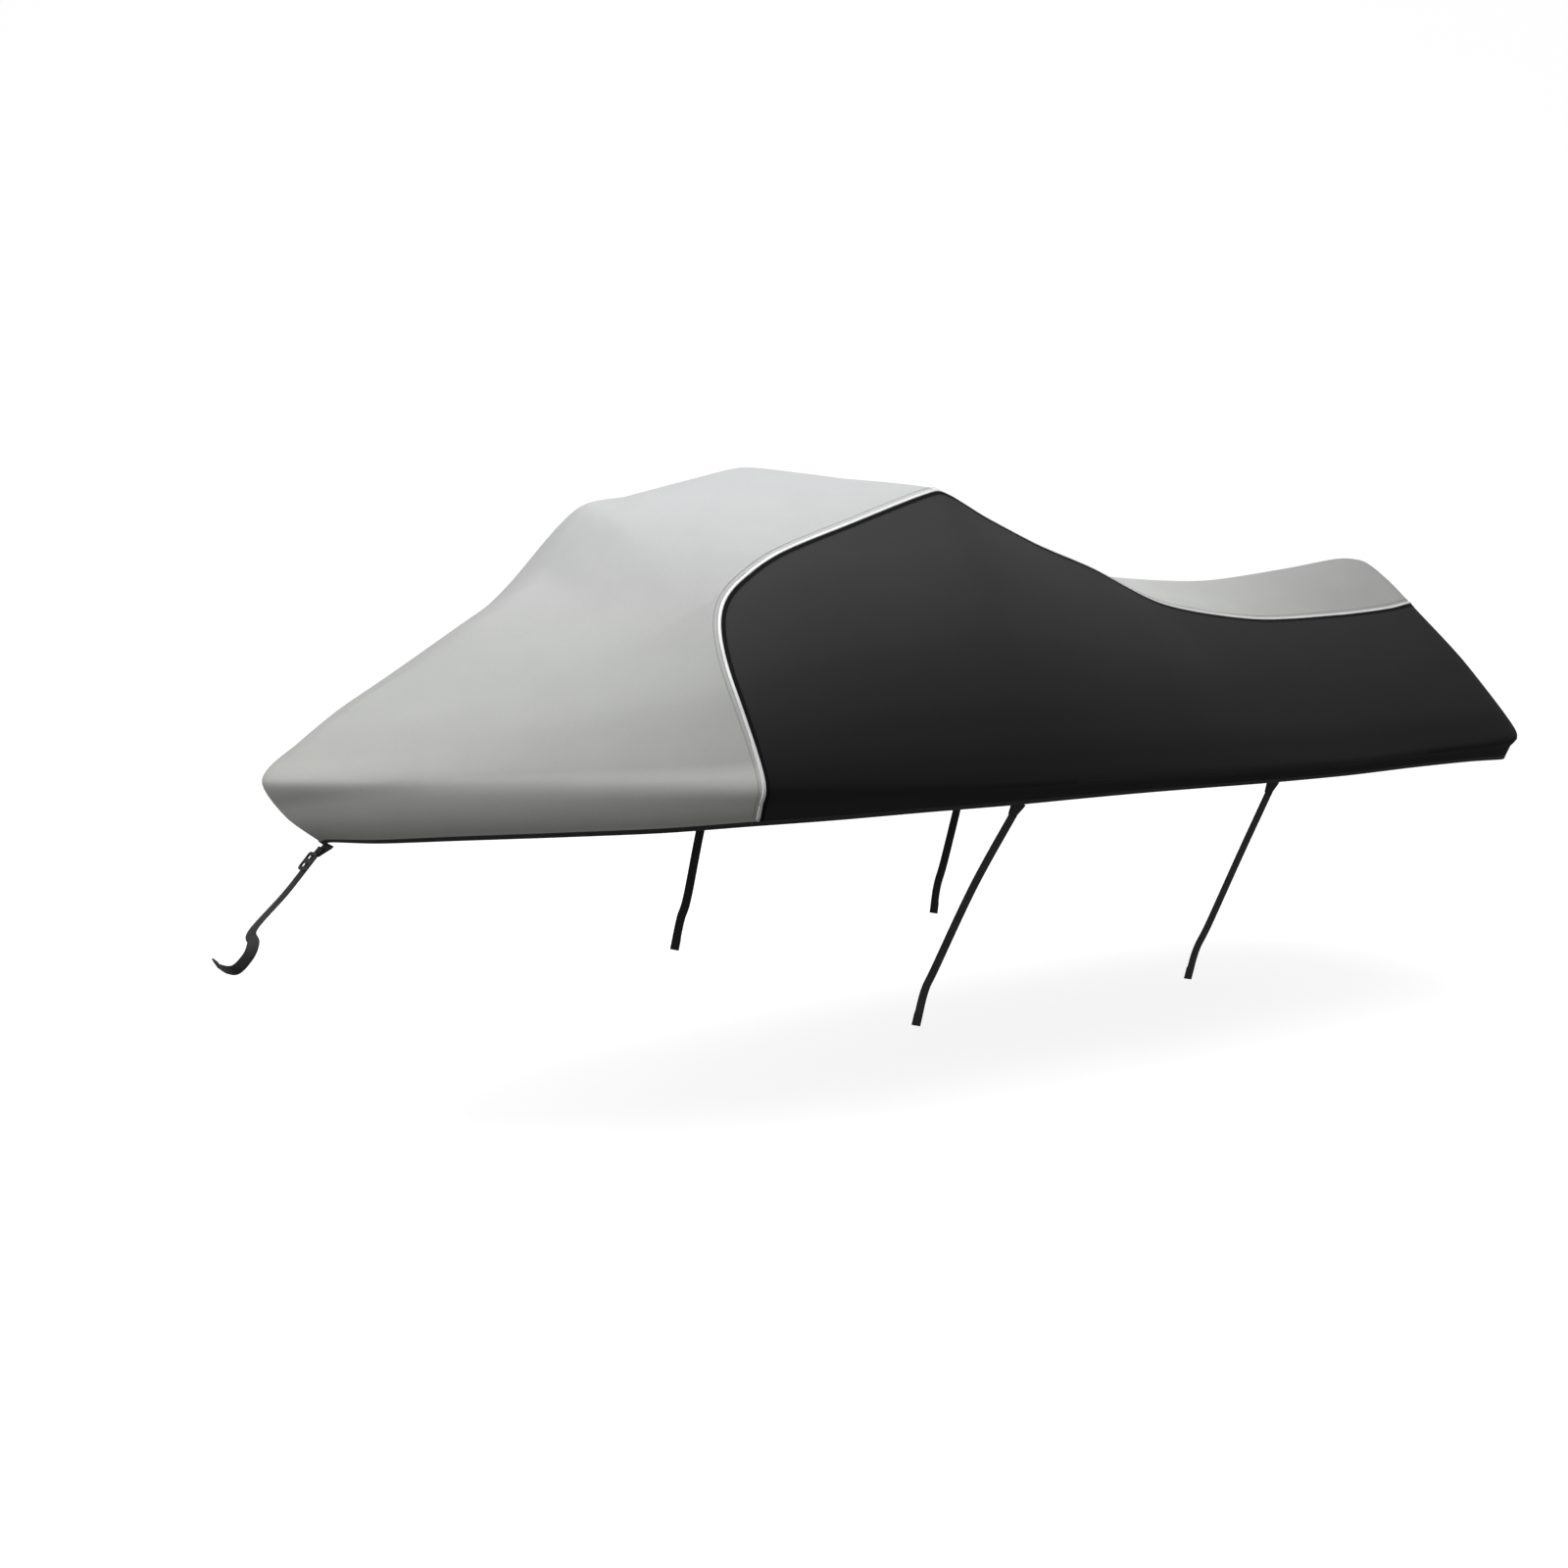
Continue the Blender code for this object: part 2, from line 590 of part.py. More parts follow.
def buckle(on_strap, down, face, material, collection, cutters):
    """A slotted adjuster that lies on the bow strap: a plate with two slots across it."""
    across = unit(np.cross(down, face))
    face = np.cross(across, down)
    centre = on_strap + face * (BUCKLE_LIFT + BUCKLE_THICKNESS / 2)
    placing = Matrix(np.column_stack([across, down, face]).tolist()).to_4x4()
    placing.translation = Vector(centre)
    plate_size = (BUCKLE_WIDTH, BUCKLE_LENGTH, BUCKLE_THICKNESS)
    plate = block("bow_strap_buckle", plate_size, placing, collection)
    plate.data.materials.append(material)
    for number, along in enumerate((-BUCKLE_SLOT_AT, BUCKLE_SLOT_AT), start=1):
        slot_size = (WEBBING_WIDTH + 0.003, BUCKLE_SLOT, 3 * BUCKLE_THICKNESS)
        spot = placing @ Matrix.Translation((0.0, along, 0.0))
        slot = block(f"buckle_slot_{number}", slot_size, spot, cutters)
        slot.hide_render = True
        slot.display_type = "WIRE"
        cut = plate.modifiers.new(f"slot {number}", "BOOLEAN")
        cut.operation = "DIFFERENCE"
        cut.solver = "EXACT"
        cut.object = slot


# ---------------------------------------------------------------- the scene


def plain_material(name, colour, roughness):
    material = bpy.data.materials.new(name)
    material.use_nodes = True
    shader = material.node_tree.nodes["Principled BSDF"]
    shader.inputs["Base Color"].default_value = colour
    shader.inputs["Roughness"].default_value = roughness
    shader.inputs["Metallic"].default_value = 0.0
    material.diffuse_color = colour
    return material


def main():
    for old in list(bpy.data.objects):
        bpy.data.objects.remove(old, do_unlink=True)
    collection = bpy.data.collections.new(OBJECT_NAME)
    bpy.context.scene.collection.children.link(collection)
    cutters = bpy.data.collections.new("cutters")
    bpy.context.scene.collection.children.link(cutters)

    grey = plain_material("grey_cloth", GREY, 0.8)
    black = plain_material("black_cloth", BLACK, 0.8)
    silver = plain_material("reflective_piping", SILVER, 0.35)
    tape = plain_material("black_webbing", BLACK, 0.7)
    plastic = plain_material("black_plastic", BLACK, 0.4)

    handlebar_panel = top_panel(GRIP_STATIONS, CORNER)
    seat_panel = top_panel(SEAT_STATIONS, CORNER + CELLS_TO_JOIN)
    sheet("hood_panel", hood_panel(), CLOTH, grey, collection, half=True)
    sheet("handlebar_panel", handlebar_panel, CLOTH, grey, collection, half=True)
    sheet("seat_panel", seat_panel, CLOTH, grey, collection, half=True)
    sheet_pair("side_panel", side_panel(), CLOTH, black, collection)
    swept_pair("piping", piping(), silver, collection)
    sheet("hem_binding", binding(), CLOTH + 2 * BINDING_LIP, tape, collection, half=True)
    sheet("bow_seam_tape", bow_tape(), TAPE, tape, collection)

    for strap in SIDE_STRAPS:
        strap_tab, strap_web = side_strap(strap)
        swept_pair(f"{strap.name}_strap_tab", strap_tab, tape, collection)
        swept_pair(f"{strap.name}_strap", strap_web, tape, collection)
    bow_tab, bow_web, lying = bow_strap()
    swept("bow_strap_tab", bow_tab, tape, collection)
    swept("bow_strap", bow_web, tape, collection)
    buckle(*lying, plastic, collection, cutters)


main()
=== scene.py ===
"""Looks of the fitted cover for a personal watercraft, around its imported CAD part.

The cloth is the surface cloth(s, v) of the CAD part, worked out again on a finer mesh. s
counts stations round the port half, from the bow's centreline to the stern's, and v runs
up each station: -1 at the hem, 0 at the rub rail, 1 at the shoulder, 2 at the crown.
Metres, +Z up; the bow points along -Y and the port side is +X.
"""

from collections import namedtuple

import bmesh
import bpy
import numpy as np
from mathutils import Matrix, Vector, kdtree, noise

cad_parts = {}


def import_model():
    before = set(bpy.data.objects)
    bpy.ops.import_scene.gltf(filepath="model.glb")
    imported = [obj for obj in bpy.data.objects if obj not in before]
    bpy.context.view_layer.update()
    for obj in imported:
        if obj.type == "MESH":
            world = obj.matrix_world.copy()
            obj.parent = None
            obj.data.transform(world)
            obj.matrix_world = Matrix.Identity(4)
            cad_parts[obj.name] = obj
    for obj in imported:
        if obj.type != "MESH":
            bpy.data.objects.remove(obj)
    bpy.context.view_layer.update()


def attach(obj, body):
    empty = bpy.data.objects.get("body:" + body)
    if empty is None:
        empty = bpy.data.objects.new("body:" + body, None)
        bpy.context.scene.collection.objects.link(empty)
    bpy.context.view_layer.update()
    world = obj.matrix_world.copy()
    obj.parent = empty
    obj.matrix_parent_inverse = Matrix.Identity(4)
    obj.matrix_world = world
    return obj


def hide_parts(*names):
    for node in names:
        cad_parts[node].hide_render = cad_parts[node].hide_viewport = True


CELL = 0.011  # size of a panel's mesh cells

# ---- sizes of the CAD part

CLOTH = 0.002
SEWN_GAP = 0.0004  # between pieces sewn to each other
PIPING_WIDTH = 0.008
PIPING_PROUD = 0.0022  # above the cloth
BINDING_HEIGHT = 0.012
BINDING_LIP = 0.0008  # thickness of the binding's own tape
TAPE_WIDTH = 0.012
TAPE = 0.001
FLANK_BULGE = 0.020
NOSE_BULGE = 0.006
WEBBING_WIDTH = 0.025
WEBBING = 0.002
TAB_TOP_WIDTH = 0.046
TAB_MIDDLE_WIDTH = 0.044
BOW_TAB_BEND = 0.007
TAB_DROP = 0.030
TAB_RISE = 0.006
TURNED_END = 0.030
STRAP_START = 0.008

Station = namedtuple(
    "Station",
    "name crown_y crown_z shoulder_x shoulder_y shoulder_z belt_x belt_y belt_z hem_in hem_down"
    " pull",
    defaults=[0.42],
)
STATIONS = [
    Station(*row)
    for row in (
        ("nose", -1.43, 0.180, 0.000, -1.570, 0.098, 0.000, -1.700, 0.000, 0.131, 0.140),
        ("nose side", -1.37, 0.207, 0.065, -1.535, 0.102, 0.090, -1.655, 0.005, 0.110, 0.137),
        ("cheek", -1.29, 0.246, 0.140, -1.450, 0.126, 0.195, -1.562, 0.010, 0.076, 0.134),
        ("bow", -1.20, 0.300, 0.208, -1.330, 0.160, 0.305, -1.420, 0.015, 0.052, 0.128),
        ("hood", -1.11, 0.350, 0.265, -1.190, 0.210, 0.415, -1.240, 0.017, 0.042, 0.124),
        ("hood foot", -1.03, 0.404, 0.315, -1.035, 0.268, 0.507, -1.050, 0.012, 0.038, 0.116),
        ("screen", -0.92, 0.543, 0.372, -0.860, 0.350, 0.572, -0.865, 0.004, 0.035, 0.103, 0.30),
        ("screen top", -0.80, 0.562, 0.385, -0.690, 0.443, 0.600, -0.660, -0.006, 0.034, 0.096),
        ("dash", -0.65, 0.590, 0.375, -0.480, 0.503, 0.608, -0.430, -0.018, 0.033, 0.089),
        ("grips", -0.49, 0.616, 0.360, -0.222, 0.567, 0.610, -0.180, -0.034, 0.033, 0.081, 0.20),
        ("behind grips", -0.28, 0.580, 0.340, -0.060, 0.500, 0.608, 0.030, -0.046, 0.033, 0.074),
        ("dip", -0.02, 0.480, 0.305, 0.130, 0.428, 0.604, 0.230, -0.058, 0.033, 0.068),
        ("seat rise", 0.28, 0.387, 0.265, 0.330, 0.365, 0.598, 0.430, -0.070, 0.033, 0.064),
        ("seat front", 0.60, 0.320, 0.220, 0.610, 0.262, 0.590, 0.640, -0.082, 0.033, 0.061),
        ("seat low", 0.95, 0.288, 0.200, 0.950, 0.206, 0.577, 0.930, -0.095, 0.034, 0.058),
        ("seat back", 1.25, 0.304, 0.200, 1.250, 0.200, 0.562, 1.200, -0.096, 0.035, 0.062),
        ("seat end", 1.46, 0.323, 0.200, 1.440, 0.206, 0.543, 1.430, -0.100, 0.036, 0.066),
        ("quarter", 1.54, 0.318, 0.195, 1.530, 0.215, 0.505, 1.600, -0.098, 0.026, 0.079),
        ("corner", 1.57, 0.308, 0.150, 1.585, 0.200, 0.410, 1.672, -0.103, 0.028, 0.082),
        ("stern side", 1.585, 0.303, 0.080, 1.620, 0.185, 0.210, 1.695, -0.106, 0.030, 0.084),
        ("stern", 1.59, 0.300, 0.000, 1.635, 0.178, 0.000, 1.700, -0.106, 0.030, 0.084),
    )
]
STERN = len(STATIONS) - 1
PEAK = next(station for station in STATIONS if station.name == "grips")
NAMES = [station.name for station in STATIONS]
SCREEN, SEAT_RISE = NAMES.index("screen"), NAMES.index("seat rise")
ORIGIN = np.array([0.0, PEAK.crown_y, PEAK.crown_z - CLOTH])
MIRROR_X = np.array([-1.0, 1.0, 1.0])
UP = np.array([0.0, 0.0, 1.0])

# Shares of a chord that give the curve its slope: a lower one makes a crisper ridge
PULL_UP = 0.36
PULL_BELT = 0.44
PULL_RIDGE = 0.18
# The front seam rises from the hem at a station, leans, and turns aft in a squarish corner
SEAM_STATION = 6.08
SEAM_LEAN = 0.11
SEAM_LEAN_SPAN = 1.15
SEAM_CORNER_RISE = 0.42
SEAM_CORNER_RUN = 0.76
SEAM_SQUARENESS = 2.5
# Between these stations the seam runs a little inside the shoulder
SEAM_INSET = 0.030
INSET_STARTS, INSET_ENDS, INSET_REACH = (5.8, 7.2), (11.5, 13.5), 0.4
CORNER_STATION = SEAM_STATION - SEAM_LEAN * np.sin(np.pi / SEAM_LEAN_SPAN) ** 2 + SEAM_CORNER_RUN
JOIN_STATION = 11.0

SIDE_STRAPS = {
    "front": (-0.160, [(0.534, -0.252, -0.295), (0.494, -0.326, -0.476),
                       (0.487, -0.352, -0.530), (0.485, -0.373, -0.605)]),
    "rear": (0.662, [(0.527, 0.585, -0.315), (0.502, 0.512, -0.478),
                     (0.492, 0.480, -0.542), (0.485, 0.462, -0.612)]),
}
BOW_STRAP_POINTS = [  # a place, and the way the strap faces there
    (0.000, -1.660, -0.231, 0.0, -0.65, 0.76),
    (0.000, -1.736, -0.300, 0.1, -0.65, 0.76),
    (0.024, -1.747, -0.322, 0.7, -0.40, 0.50),
    (0.040, -1.766, -0.345, 1.0, -0.10, 0.10),
    (0.037, -1.793, -0.370, 0.7, -0.60, -0.40),
    (0.006, -1.805, -0.374, 0.0, -0.84, -0.54),
    (-0.045, -1.803, -0.371, 0.0, -0.84, -0.54),
]

# ---- sizes of the fine sewing

SWELL, DRAWN_LINE = 0.0022, 0.0008  # heights of the slack cloth's swells and drawn lines
SLACK_FADE = 0.08  # the slack dies out over this distance to a seam or hem
DOUBLED_CLOTH, DOUBLED_WIDTH = 0.0007, 0.0155  # the doubled strip beside the seam
STITCH_OFFSET = 0.0092  # from the piping's edge to the stitch line
STITCH_DIMPLE = 0.0004
BOX_STITCH = 0.018  # width of a sewn rectangle
TAB_BOX_HEIGHT, TAB_BOX_DROP = 0.017, 0.019
PORT_HEM = 4.2  # a little over its length
ROUTE_STEPS = 16  # along each stretch of a strap
BUCKLE_WIDTH, BUCKLE_LENGTH, BUCKLE_CORNER = 0.038, 0.046, 0.007
BUCKLE_SLOT = (0.028, 0.009, 0.03)
BUCKLE_SLOTS_AT = (-0.010, 0.010)
BUCKLE_PLACE = 20  # step of the bow strap's route that it sits at

# ---- the cloth's surface


def unit(vectors):
    return vectors / np.maximum(np.linalg.norm(vectors, axis=-1, keepdims=True), 1e-12)


def curve(a, b, c, d, t, start_pull, end_pull):
    """Point and slope at t of the curve from b to c, with a before it and d after it."""
    start, end = start_pull * (c - a), end_pull * (d - b)
    square = 3 * (c - b) - 2 * start - end
    cube = 2 * (b - c) + start + end
    return b + start * t + square * t**2 + cube * t**3, start + 2 * square * t + 3 * cube * t**2


def belt_outward():
    belt = np.array([(row.belt_x, row.belt_y, 0.0) for row in STATIONS])
    belt = np.vstack([belt[1] * MIRROR_X, belt, belt[-2] * MIRROR_X])
    along = belt[2:] - belt[:-2]
    return unit(np.stack([along[:, 1], -along[:, 0], 0 * along[:, 0]], axis=1))


def station_points(row, outward):
    """Hem, under, belt, flank, shoulder, top and crown of one station."""
    belt = np.array([row.belt_x, row.belt_y, row.belt_z])
    shoulder = np.array([row.shoulder_x, row.shoulder_y, row.shoulder_z])
    crown = np.array([0.0, row.crown_y, row.crown_z])
    hem = belt - outward * row.hem_in - UP * row.hem_down
    under = (hem + belt) / 2 + outward * 0.12 * row.hem_in - UP * 0.05 * row.hem_down
    taut = min(1.0, max(0.0, (row.belt_y + 1.6) / 0.5))
    flat_stern = min(1.0, max(0.0, (1.75 - row.belt_y) / 0.5))
    swell = NOSE_BULGE + (FLANK_BULGE - NOSE_BULGE) * taut
    flank = (belt + shoulder) / 2 + outward * swell * flat_stern + UP * 0.012 * taut
    top = crown + (shoulder - crown) * np.array([0.52, 0.41, 0.41])
    if row.shoulder_x == 0:
        rounding = 0.004 * UP if row.belt_y < 0 else np.array([0.0, 0.02, 0.02])
        top = (shoulder + crown) / 2 + rounding
    return [hem, under, belt, flank, shoulder, top, crown]


def surface_cage():
    cage = np.array([station_points(row, out) for row, out in zip(STATIONS, belt_outward())])
    cage = np.concatenate([cage[1:2] * MIRROR_X, cage, cage[-2:-1] * MIRROR_X])
    below = 2 * cage[:, :1] - cage[:, 1:2]
    across = cage[:, -2:-1] * MIRROR_X
    return np.concatenate([below, cage, across], axis=1) - ORIGIN


CAGE = surface_cage()
STEPS_UP = CAGE.shape[1] - 3
BELT_ROW, SHOULDER_ROW = 3, 5
PULLS = np.array([row.pull for row in STATIONS])
PULLS_UP = np.full(CAGE.shape[:2], PULL_UP)
PULLS_UP[:, BELT_ROW] = PULL_BELT
PULLS_UP[SCREEN + 1 : SEAT_RISE + 2, SHOULDER_ROW] = PULL_RIDGE


def ramp(value, start, end):
    share = np.clip((value - start) / (end - start), 0.0, 1.0)
    return share * share * (3 - 2 * share)


def on_centreline(s, v):
    return (s <= 0) | (s >= STERN) | (v >= 2)


def cloth(s, v):
    """Points of the cloth's outer face, and their slopes along s and along v."""
    s, v = np.broadcast_arrays(np.asarray(s, float), np.asarray(v, float))
    inset = SEAM_INSET * ramp(s, *INSET_STARTS) * (1 - ramp(s, *INSET_ENDS))
    up = (v + inset * (1 - ramp(abs(v - 1), 0.0, INSET_REACH)) + 1) / 3 * STEPS_UP
    i = np.clip(s.astype(int), 0, STERN - 1)
    j = np.clip(up.astype(int), 0, STEPS_UP - 1)
    across, higher = (s - i)[..., None], (up - j)[..., None]
    rows = []
    for k in range(4):
        knots = [CAGE[i + k, j + m] for m in range(4)]
        pulls = [PULLS_UP[i + k, j + m][..., None] for m in (1, 2)]
        rows.append(curve(*knots, higher, *pulls))
    pulls = PULLS[i][..., None], PULLS[i + 1][..., None]
    point, along = curve(*[row[0] for row in rows], across, *pulls)
    upward, _ = curve(*[row[1] for row in rows], across, *pulls)
    point[..., 0] = np.where(on_centreline(s, v), 0.0, point[..., 0])
    return point, along, upward


def outward(s, v):
    """Directions out of the cloth. They are read a little inside its edges, where the
    surface still has a slope both ways."""
    inset = 0.02
    _, along, upward = cloth(np.clip(s, inset, STERN - inset), np.minimum(v, 2 - inset))
    normal = np.cross(along, upward)
    normal[..., 0] = np.where(on_centreline(s, v), 0.0, normal[..., 0])
    return unit(normal)


def seam_station(v):
    lean = SEAM_LEAN * np.sin(np.pi * np.clip(v, 0, 1) / SEAM_LEAN_SPAN) ** 2
    turned = np.clip((v - 1 + SEAM_CORNER_RISE) / SEAM_CORNER_RISE, 0, 1)
    corner = 1 - (1 - turned**SEAM_SQUARENESS) ** (1 / SEAM_SQUARENESS)
    return SEAM_STATION - lean + SEAM_CORNER_RUN * corner


def lengths_along(points):
    steps = np.linalg.norm(np.diff(points, axis=0), axis=1)
    return np.concatenate([[0.0], np.cumsum(steps)])


def resampled(points, spacing):
    """Points of a line at an even spacing along it."""
    along = lengths_along(points)
    wanted = np.arange(0.0, along[-1], spacing)
    return np.stack([np.interp(wanted, along, column) for column in points.T], axis=1)


def spaced(length, fine_start, fine_end):
    """Shares of a length, in even cells with finer ones at the ends asked for."""
    edge = np.cumsum([0, 0.0015, 0.0015, 0.002, 0.002, 0.003, 0.004, 0.005, 0.007])
    start = edge if fine_start else np.array([0.0])
    end = length - edge[::-1] if fine_end else np.array([length])
    cells = max(2, round((end[0] - start[-1]) / CELL))
    return np.concatenate([start[:-1], np.linspace(start[-1], end[0], cells + 1), end[1:]]) / length


def seam_line():
    """The port seam from hem to corner and aft to the stern, every 2 mm or so."""
    levels = 1 - np.linspace(1, 0, 500) ** 1.6 * 2
    aft = np.linspace(CORNER_STATION, STERN, 1500)[1:]
    stations = np.concatenate([seam_station(levels), aft])
    levels = np.concatenate([levels, np.ones(len(aft))])
    points, outs = cloth(stations, levels)[0], outward(stations, levels)
    runs = np.gradient(points, axis=0)
    runs[-1] = [-1.0, 0.0, 0.0]
    return points, outs, unit(np.cross(outs, runs))


SEAM_POINTS, SEAM_OUTWARD, SEAM_SIDE = seam_line()
SEAM_TREE = kdtree.KDTree(len(SEAM_POINTS))
for number, place in enumerate(SEAM_POINTS):
    SEAM_TREE.insert(place, number)
SEAM_TREE.balance()


def seam_distance(points):
    """Distance of each point to the port seam, and the nearest sample of it."""
    found = [SEAM_TREE.find(point) for point in points.reshape(-1, 3)]
    distance = np.array([item[2] for item in found]).reshape(points.shape[:-1])
    index = np.array([item[1] for item in found]).reshape(points.shape[:-1])
    return distance, index


# ---- mesh helpers


def new_piece(name, vertices, faces, materials, smooth=True):
    mesh = bpy.data.meshes.new(name)
    mesh.from_pydata(np.asarray(vertices).tolist(), [], faces)
    if smooth:
        mesh.shade_smooth()
    for material in materials:
        mesh.materials.append(material)
    piece = bpy.data.objects.new(name, mesh)
    bpy.context.scene.collection.objects.link(piece)
    return piece


def grid_faces(rows, columns, first=0):
    corner = first + np.arange(rows * columns).reshape(rows, columns)
    return np.stack(
        [corner[:-1, :-1], corner[:-1, 1:], corner[1:, 1:], corner[1:, :-1]], axis=-1
    ).reshape(-1, 4)


def set_uv(mesh, coordinates):
    """Lays the mesh out flat: each point's metres along and up the cloth."""
    corners = np.empty(len(mesh.loops), np.int32)
    mesh.loops.foreach_get("vertex_index", corners)
    uv = mesh.uv_layers.new(name="cloth")
    uv.data.foreach_set("uv", coordinates[corners].astype(np.float32).ravel())


def rings_mesh(name, rings, materials, closed=False):
    """A solid through rings of points. Its ends are capped, or closed run into each other."""
    rings = np.asarray(rings)
    corner = np.arange(rings.shape[0] * rings.shape[1]).reshape(rings.shape[:2])
    after = np.roll(corner, -1, axis=1)
    onward, beyond = np.roll(corner, -1, axis=0), np.roll(after, -1, axis=0)
    sides = np.stack([corner, after, beyond, onward], axis=-1)
    faces = (sides if closed else sides[:-1]).reshape(-1, 4).tolist()
    if not closed:
        faces += [corner[0].tolist()[::-1], corner[-1].tolist()]
    piece = new_piece(name, rings.reshape(-1, 3), faces, materials)
    shape = bmesh.new()
    shape.from_mesh(piece.data)
    bmesh.ops.recalc_face_normals(shape, faces=shape.faces)
    shape.to_mesh(piece.data)
    shape.free()
    return piece


def bake(piece):
    """Makes the piece's modifiers part of its mesh."""
    bpy.context.view_layer.update()
    graph = bpy.context.evaluated_depsgraph_get()
    baked = bpy.data.meshes.new_from_object(piece.evaluated_get(graph))
    piece.modifiers.clear()
    piece.data = baked


def sharpen(piece, degrees):
    piece.data.set_sharp_from_angle(angle=np.radians(degrees))


def rings_along(points, across, outwards, profiles):
    return np.array([
        [point + side * a + out * b for a, b in profile]
        for point, side, out, profile in zip(points, across, outwards, profiles)
    ])


def starboard(points):
    return np.asarray(points) * MIRROR_X


# ---- panels


def shallow_folds(point):
    """Height of the cloth's slight slackness: broad swells, and a few drawn lines."""
    x, y, z = point
    broad = noise.noise(Vector((x * 2.6, y * 1.9, z * 2.6 + 3.0)))
    drawn = noise.noise(Vector((x * 9.0 + 7.0, y * 3.2 + z * 5.0, z * 4.0)))
    return SWELL * broad + DRAWN_LINE * drawn


def seam_relief(distance, towards):
    """Height of the cloth beside the piping: it is doubled on the black side only, and is
    drawn down a little along the black side's stitch line; the grey side stays flat."""
    if towards > 0:
        return 0 * distance
    stitch_line = PIPING_WIDTH / 2 + STITCH_OFFSET
    doubled = DOUBLED_CLOTH * np.clip((DOUBLED_WIDTH - distance) / 0.0015, 0, 1)
    return doubled - STITCH_DIMPLE * np.exp(-(((distance - stitch_line) / 0.0014) ** 2))


def half_panel(s, v, towards, joins=()):
    """Points, mesh coordinates and edge distances of the port half of a panel over the
    places (s, v). towards is 1 on the grey side of the seam and -1 on the black side."""
    points, along, upward = cloth(s, v)
    normal = outward(s, v)
    distance, index = seam_distance(points)
    fade = np.clip(1 - distance / 0.05, 0, 1)[..., None] ** 2
    points = points + SEAM_SIDE[index] * towards * (PIPING_WIDTH / 2 + SEWN_GAP) * fade
    distance, _ = seam_distance(points)

    rise = np.linalg.norm(np.diff(points, axis=0), axis=2)
    height = np.vstack([np.zeros((1, rise.shape[1])), np.cumsum(rise, axis=0)])
    from_hem = np.full(s.shape, 9.0)  # far from any hem
    if v[0, 0] == -1:
        from_hem = height
        fade = np.clip(1 - height / 0.06, 0, 1)[..., None] ** 2
        points = points + unit(upward) * (BINDING_HEIGHT + SEWN_GAP) * fade
    for column, side in joins:
        points[:, column] += unit(along[:, column]) * side * SEWN_GAP / 2

    relief = seam_relief(distance, towards) + 0.0004 * np.clip((0.006 - from_hem) / 0.002, 0, 1)
    points = points + normal * relief[..., None]
    points[..., 0] = np.where(on_centreline(s, v), 0.0, points[..., 0])

    even = np.linspace(0, STERN, 800)
    run = np.interp(s, even, lengths_along(cloth(even, 0.0)[0]))
    above = cloth(s[0], v[0])[0][:, 2] + 2.0
    return points, normal, run, height + above, distance, from_hem


def panel(name, halves, sides, material, lining):
    """A sheet of cloth over the given half panels, on the port side, the starboard side
    or both, welded where they meet, with a lining colour on its inner face."""
    vertices, faces, fields = [], [], []
    for points, normal, *measures in halves:
        for side in sides:
            grid, normals, values = points, normal, np.stack(measures, axis=-1)
            if side < 0:
                grid, normals = starboard(points)[:, ::-1], starboard(normal)[:, ::-1]
                values = (values * (-1, 1, 1, 1))[:, ::-1]
            flat, values = grid.reshape(-1, 3), values.reshape(-1, 4)
            slack = np.array([shallow_folds(point) for point in flat])
            slack *= np.clip(values[:, 2:].min(axis=1) / SLACK_FADE, 0, 1)
            # Both halves of a sheet meet on the centreline, so it stays in its plane there.
            moved = flat + normals.reshape(-1, 3) * slack[:, None]
            moved[:, 0] = np.where(np.abs(flat[:, 0]) < 1e-9, 0.0, moved[:, 0])
            faces.append(grid_faces(*grid.shape[:2], sum(map(len, vertices))))
            vertices.append(moved)
            fields.append(values)
    piece = new_piece(name, np.vstack(vertices), np.vstack(faces).tolist(), [material, lining])
    mesh = piece.data
    run, up, seam, hem = np.vstack(fields).T.astype(np.float32, order="C")
    set_uv(mesh, np.stack([run, up], axis=1))
    for label, values in (("seam_distance", seam), ("hem_distance", hem)):
        layer = mesh.attributes.new(label, "FLOAT", "POINT")
        layer.data.foreach_set("value", values)
    shape = bmesh.new()
    shape.from_mesh(mesh)
    bmesh.ops.remove_doubles(shape, verts=shape.verts, dist=1e-5)
    shape.to_mesh(mesh)
    shape.free()
    thickness = piece.modifiers.new("thickness", "SOLIDIFY")
    thickness.thickness = CLOTH
    thickness.offset = -1.0
    thickness.material_offset = 1
    bake(piece)
    sharpen(piece, 50)
    return piece


def even_cells(values, points, fine_start, fine_end):
    """The values that cut the line of points into even cells."""
    along = lengths_along(points)
    return np.interp(spaced(along[-1], fine_start, fine_end) * along[-1], along, values)


def station_cells(first, last, fine_start=False, fine_end=False):
    """Stations from first to last, in even cells along the rub rail."""
    stations = np.linspace(first, last, 400)
    return even_cells(stations, cloth(stations, 0.3)[0], fine_start, fine_end)


def level_cells(first, last, station, fine_start=False, fine_end=False):
    """Levels from first to last, in even cells up the station."""
    levels = np.linspace(first, last, 400)
    return even_cells(levels, cloth(station, levels)[0], fine_start, fine_end)


def hood_half():
    low = level_cells(-1, 1, 6.0, True, True)
    high = level_cells(1, 2, 6.0)[1:]
    shares = station_cells(0, CORNER_STATION, False, True) / CORNER_STATION
    v = np.concatenate([low, high])[:, None] + 0 * shares
    s = seam_station(v) * shares
    return half_panel(s, v, 1)


def top_half(first, last, station, fine_start, join):
    """The top's port half between two stations, with rows spaced as they are at station.
    join is the column sewn to the next sheet, and the way that the gap opens there."""
    v = level_cells(1, 2, station, fine_start)[:, None]
    return half_panel(*np.broadcast_arrays(station_cells(first, last), v), 1, [join])


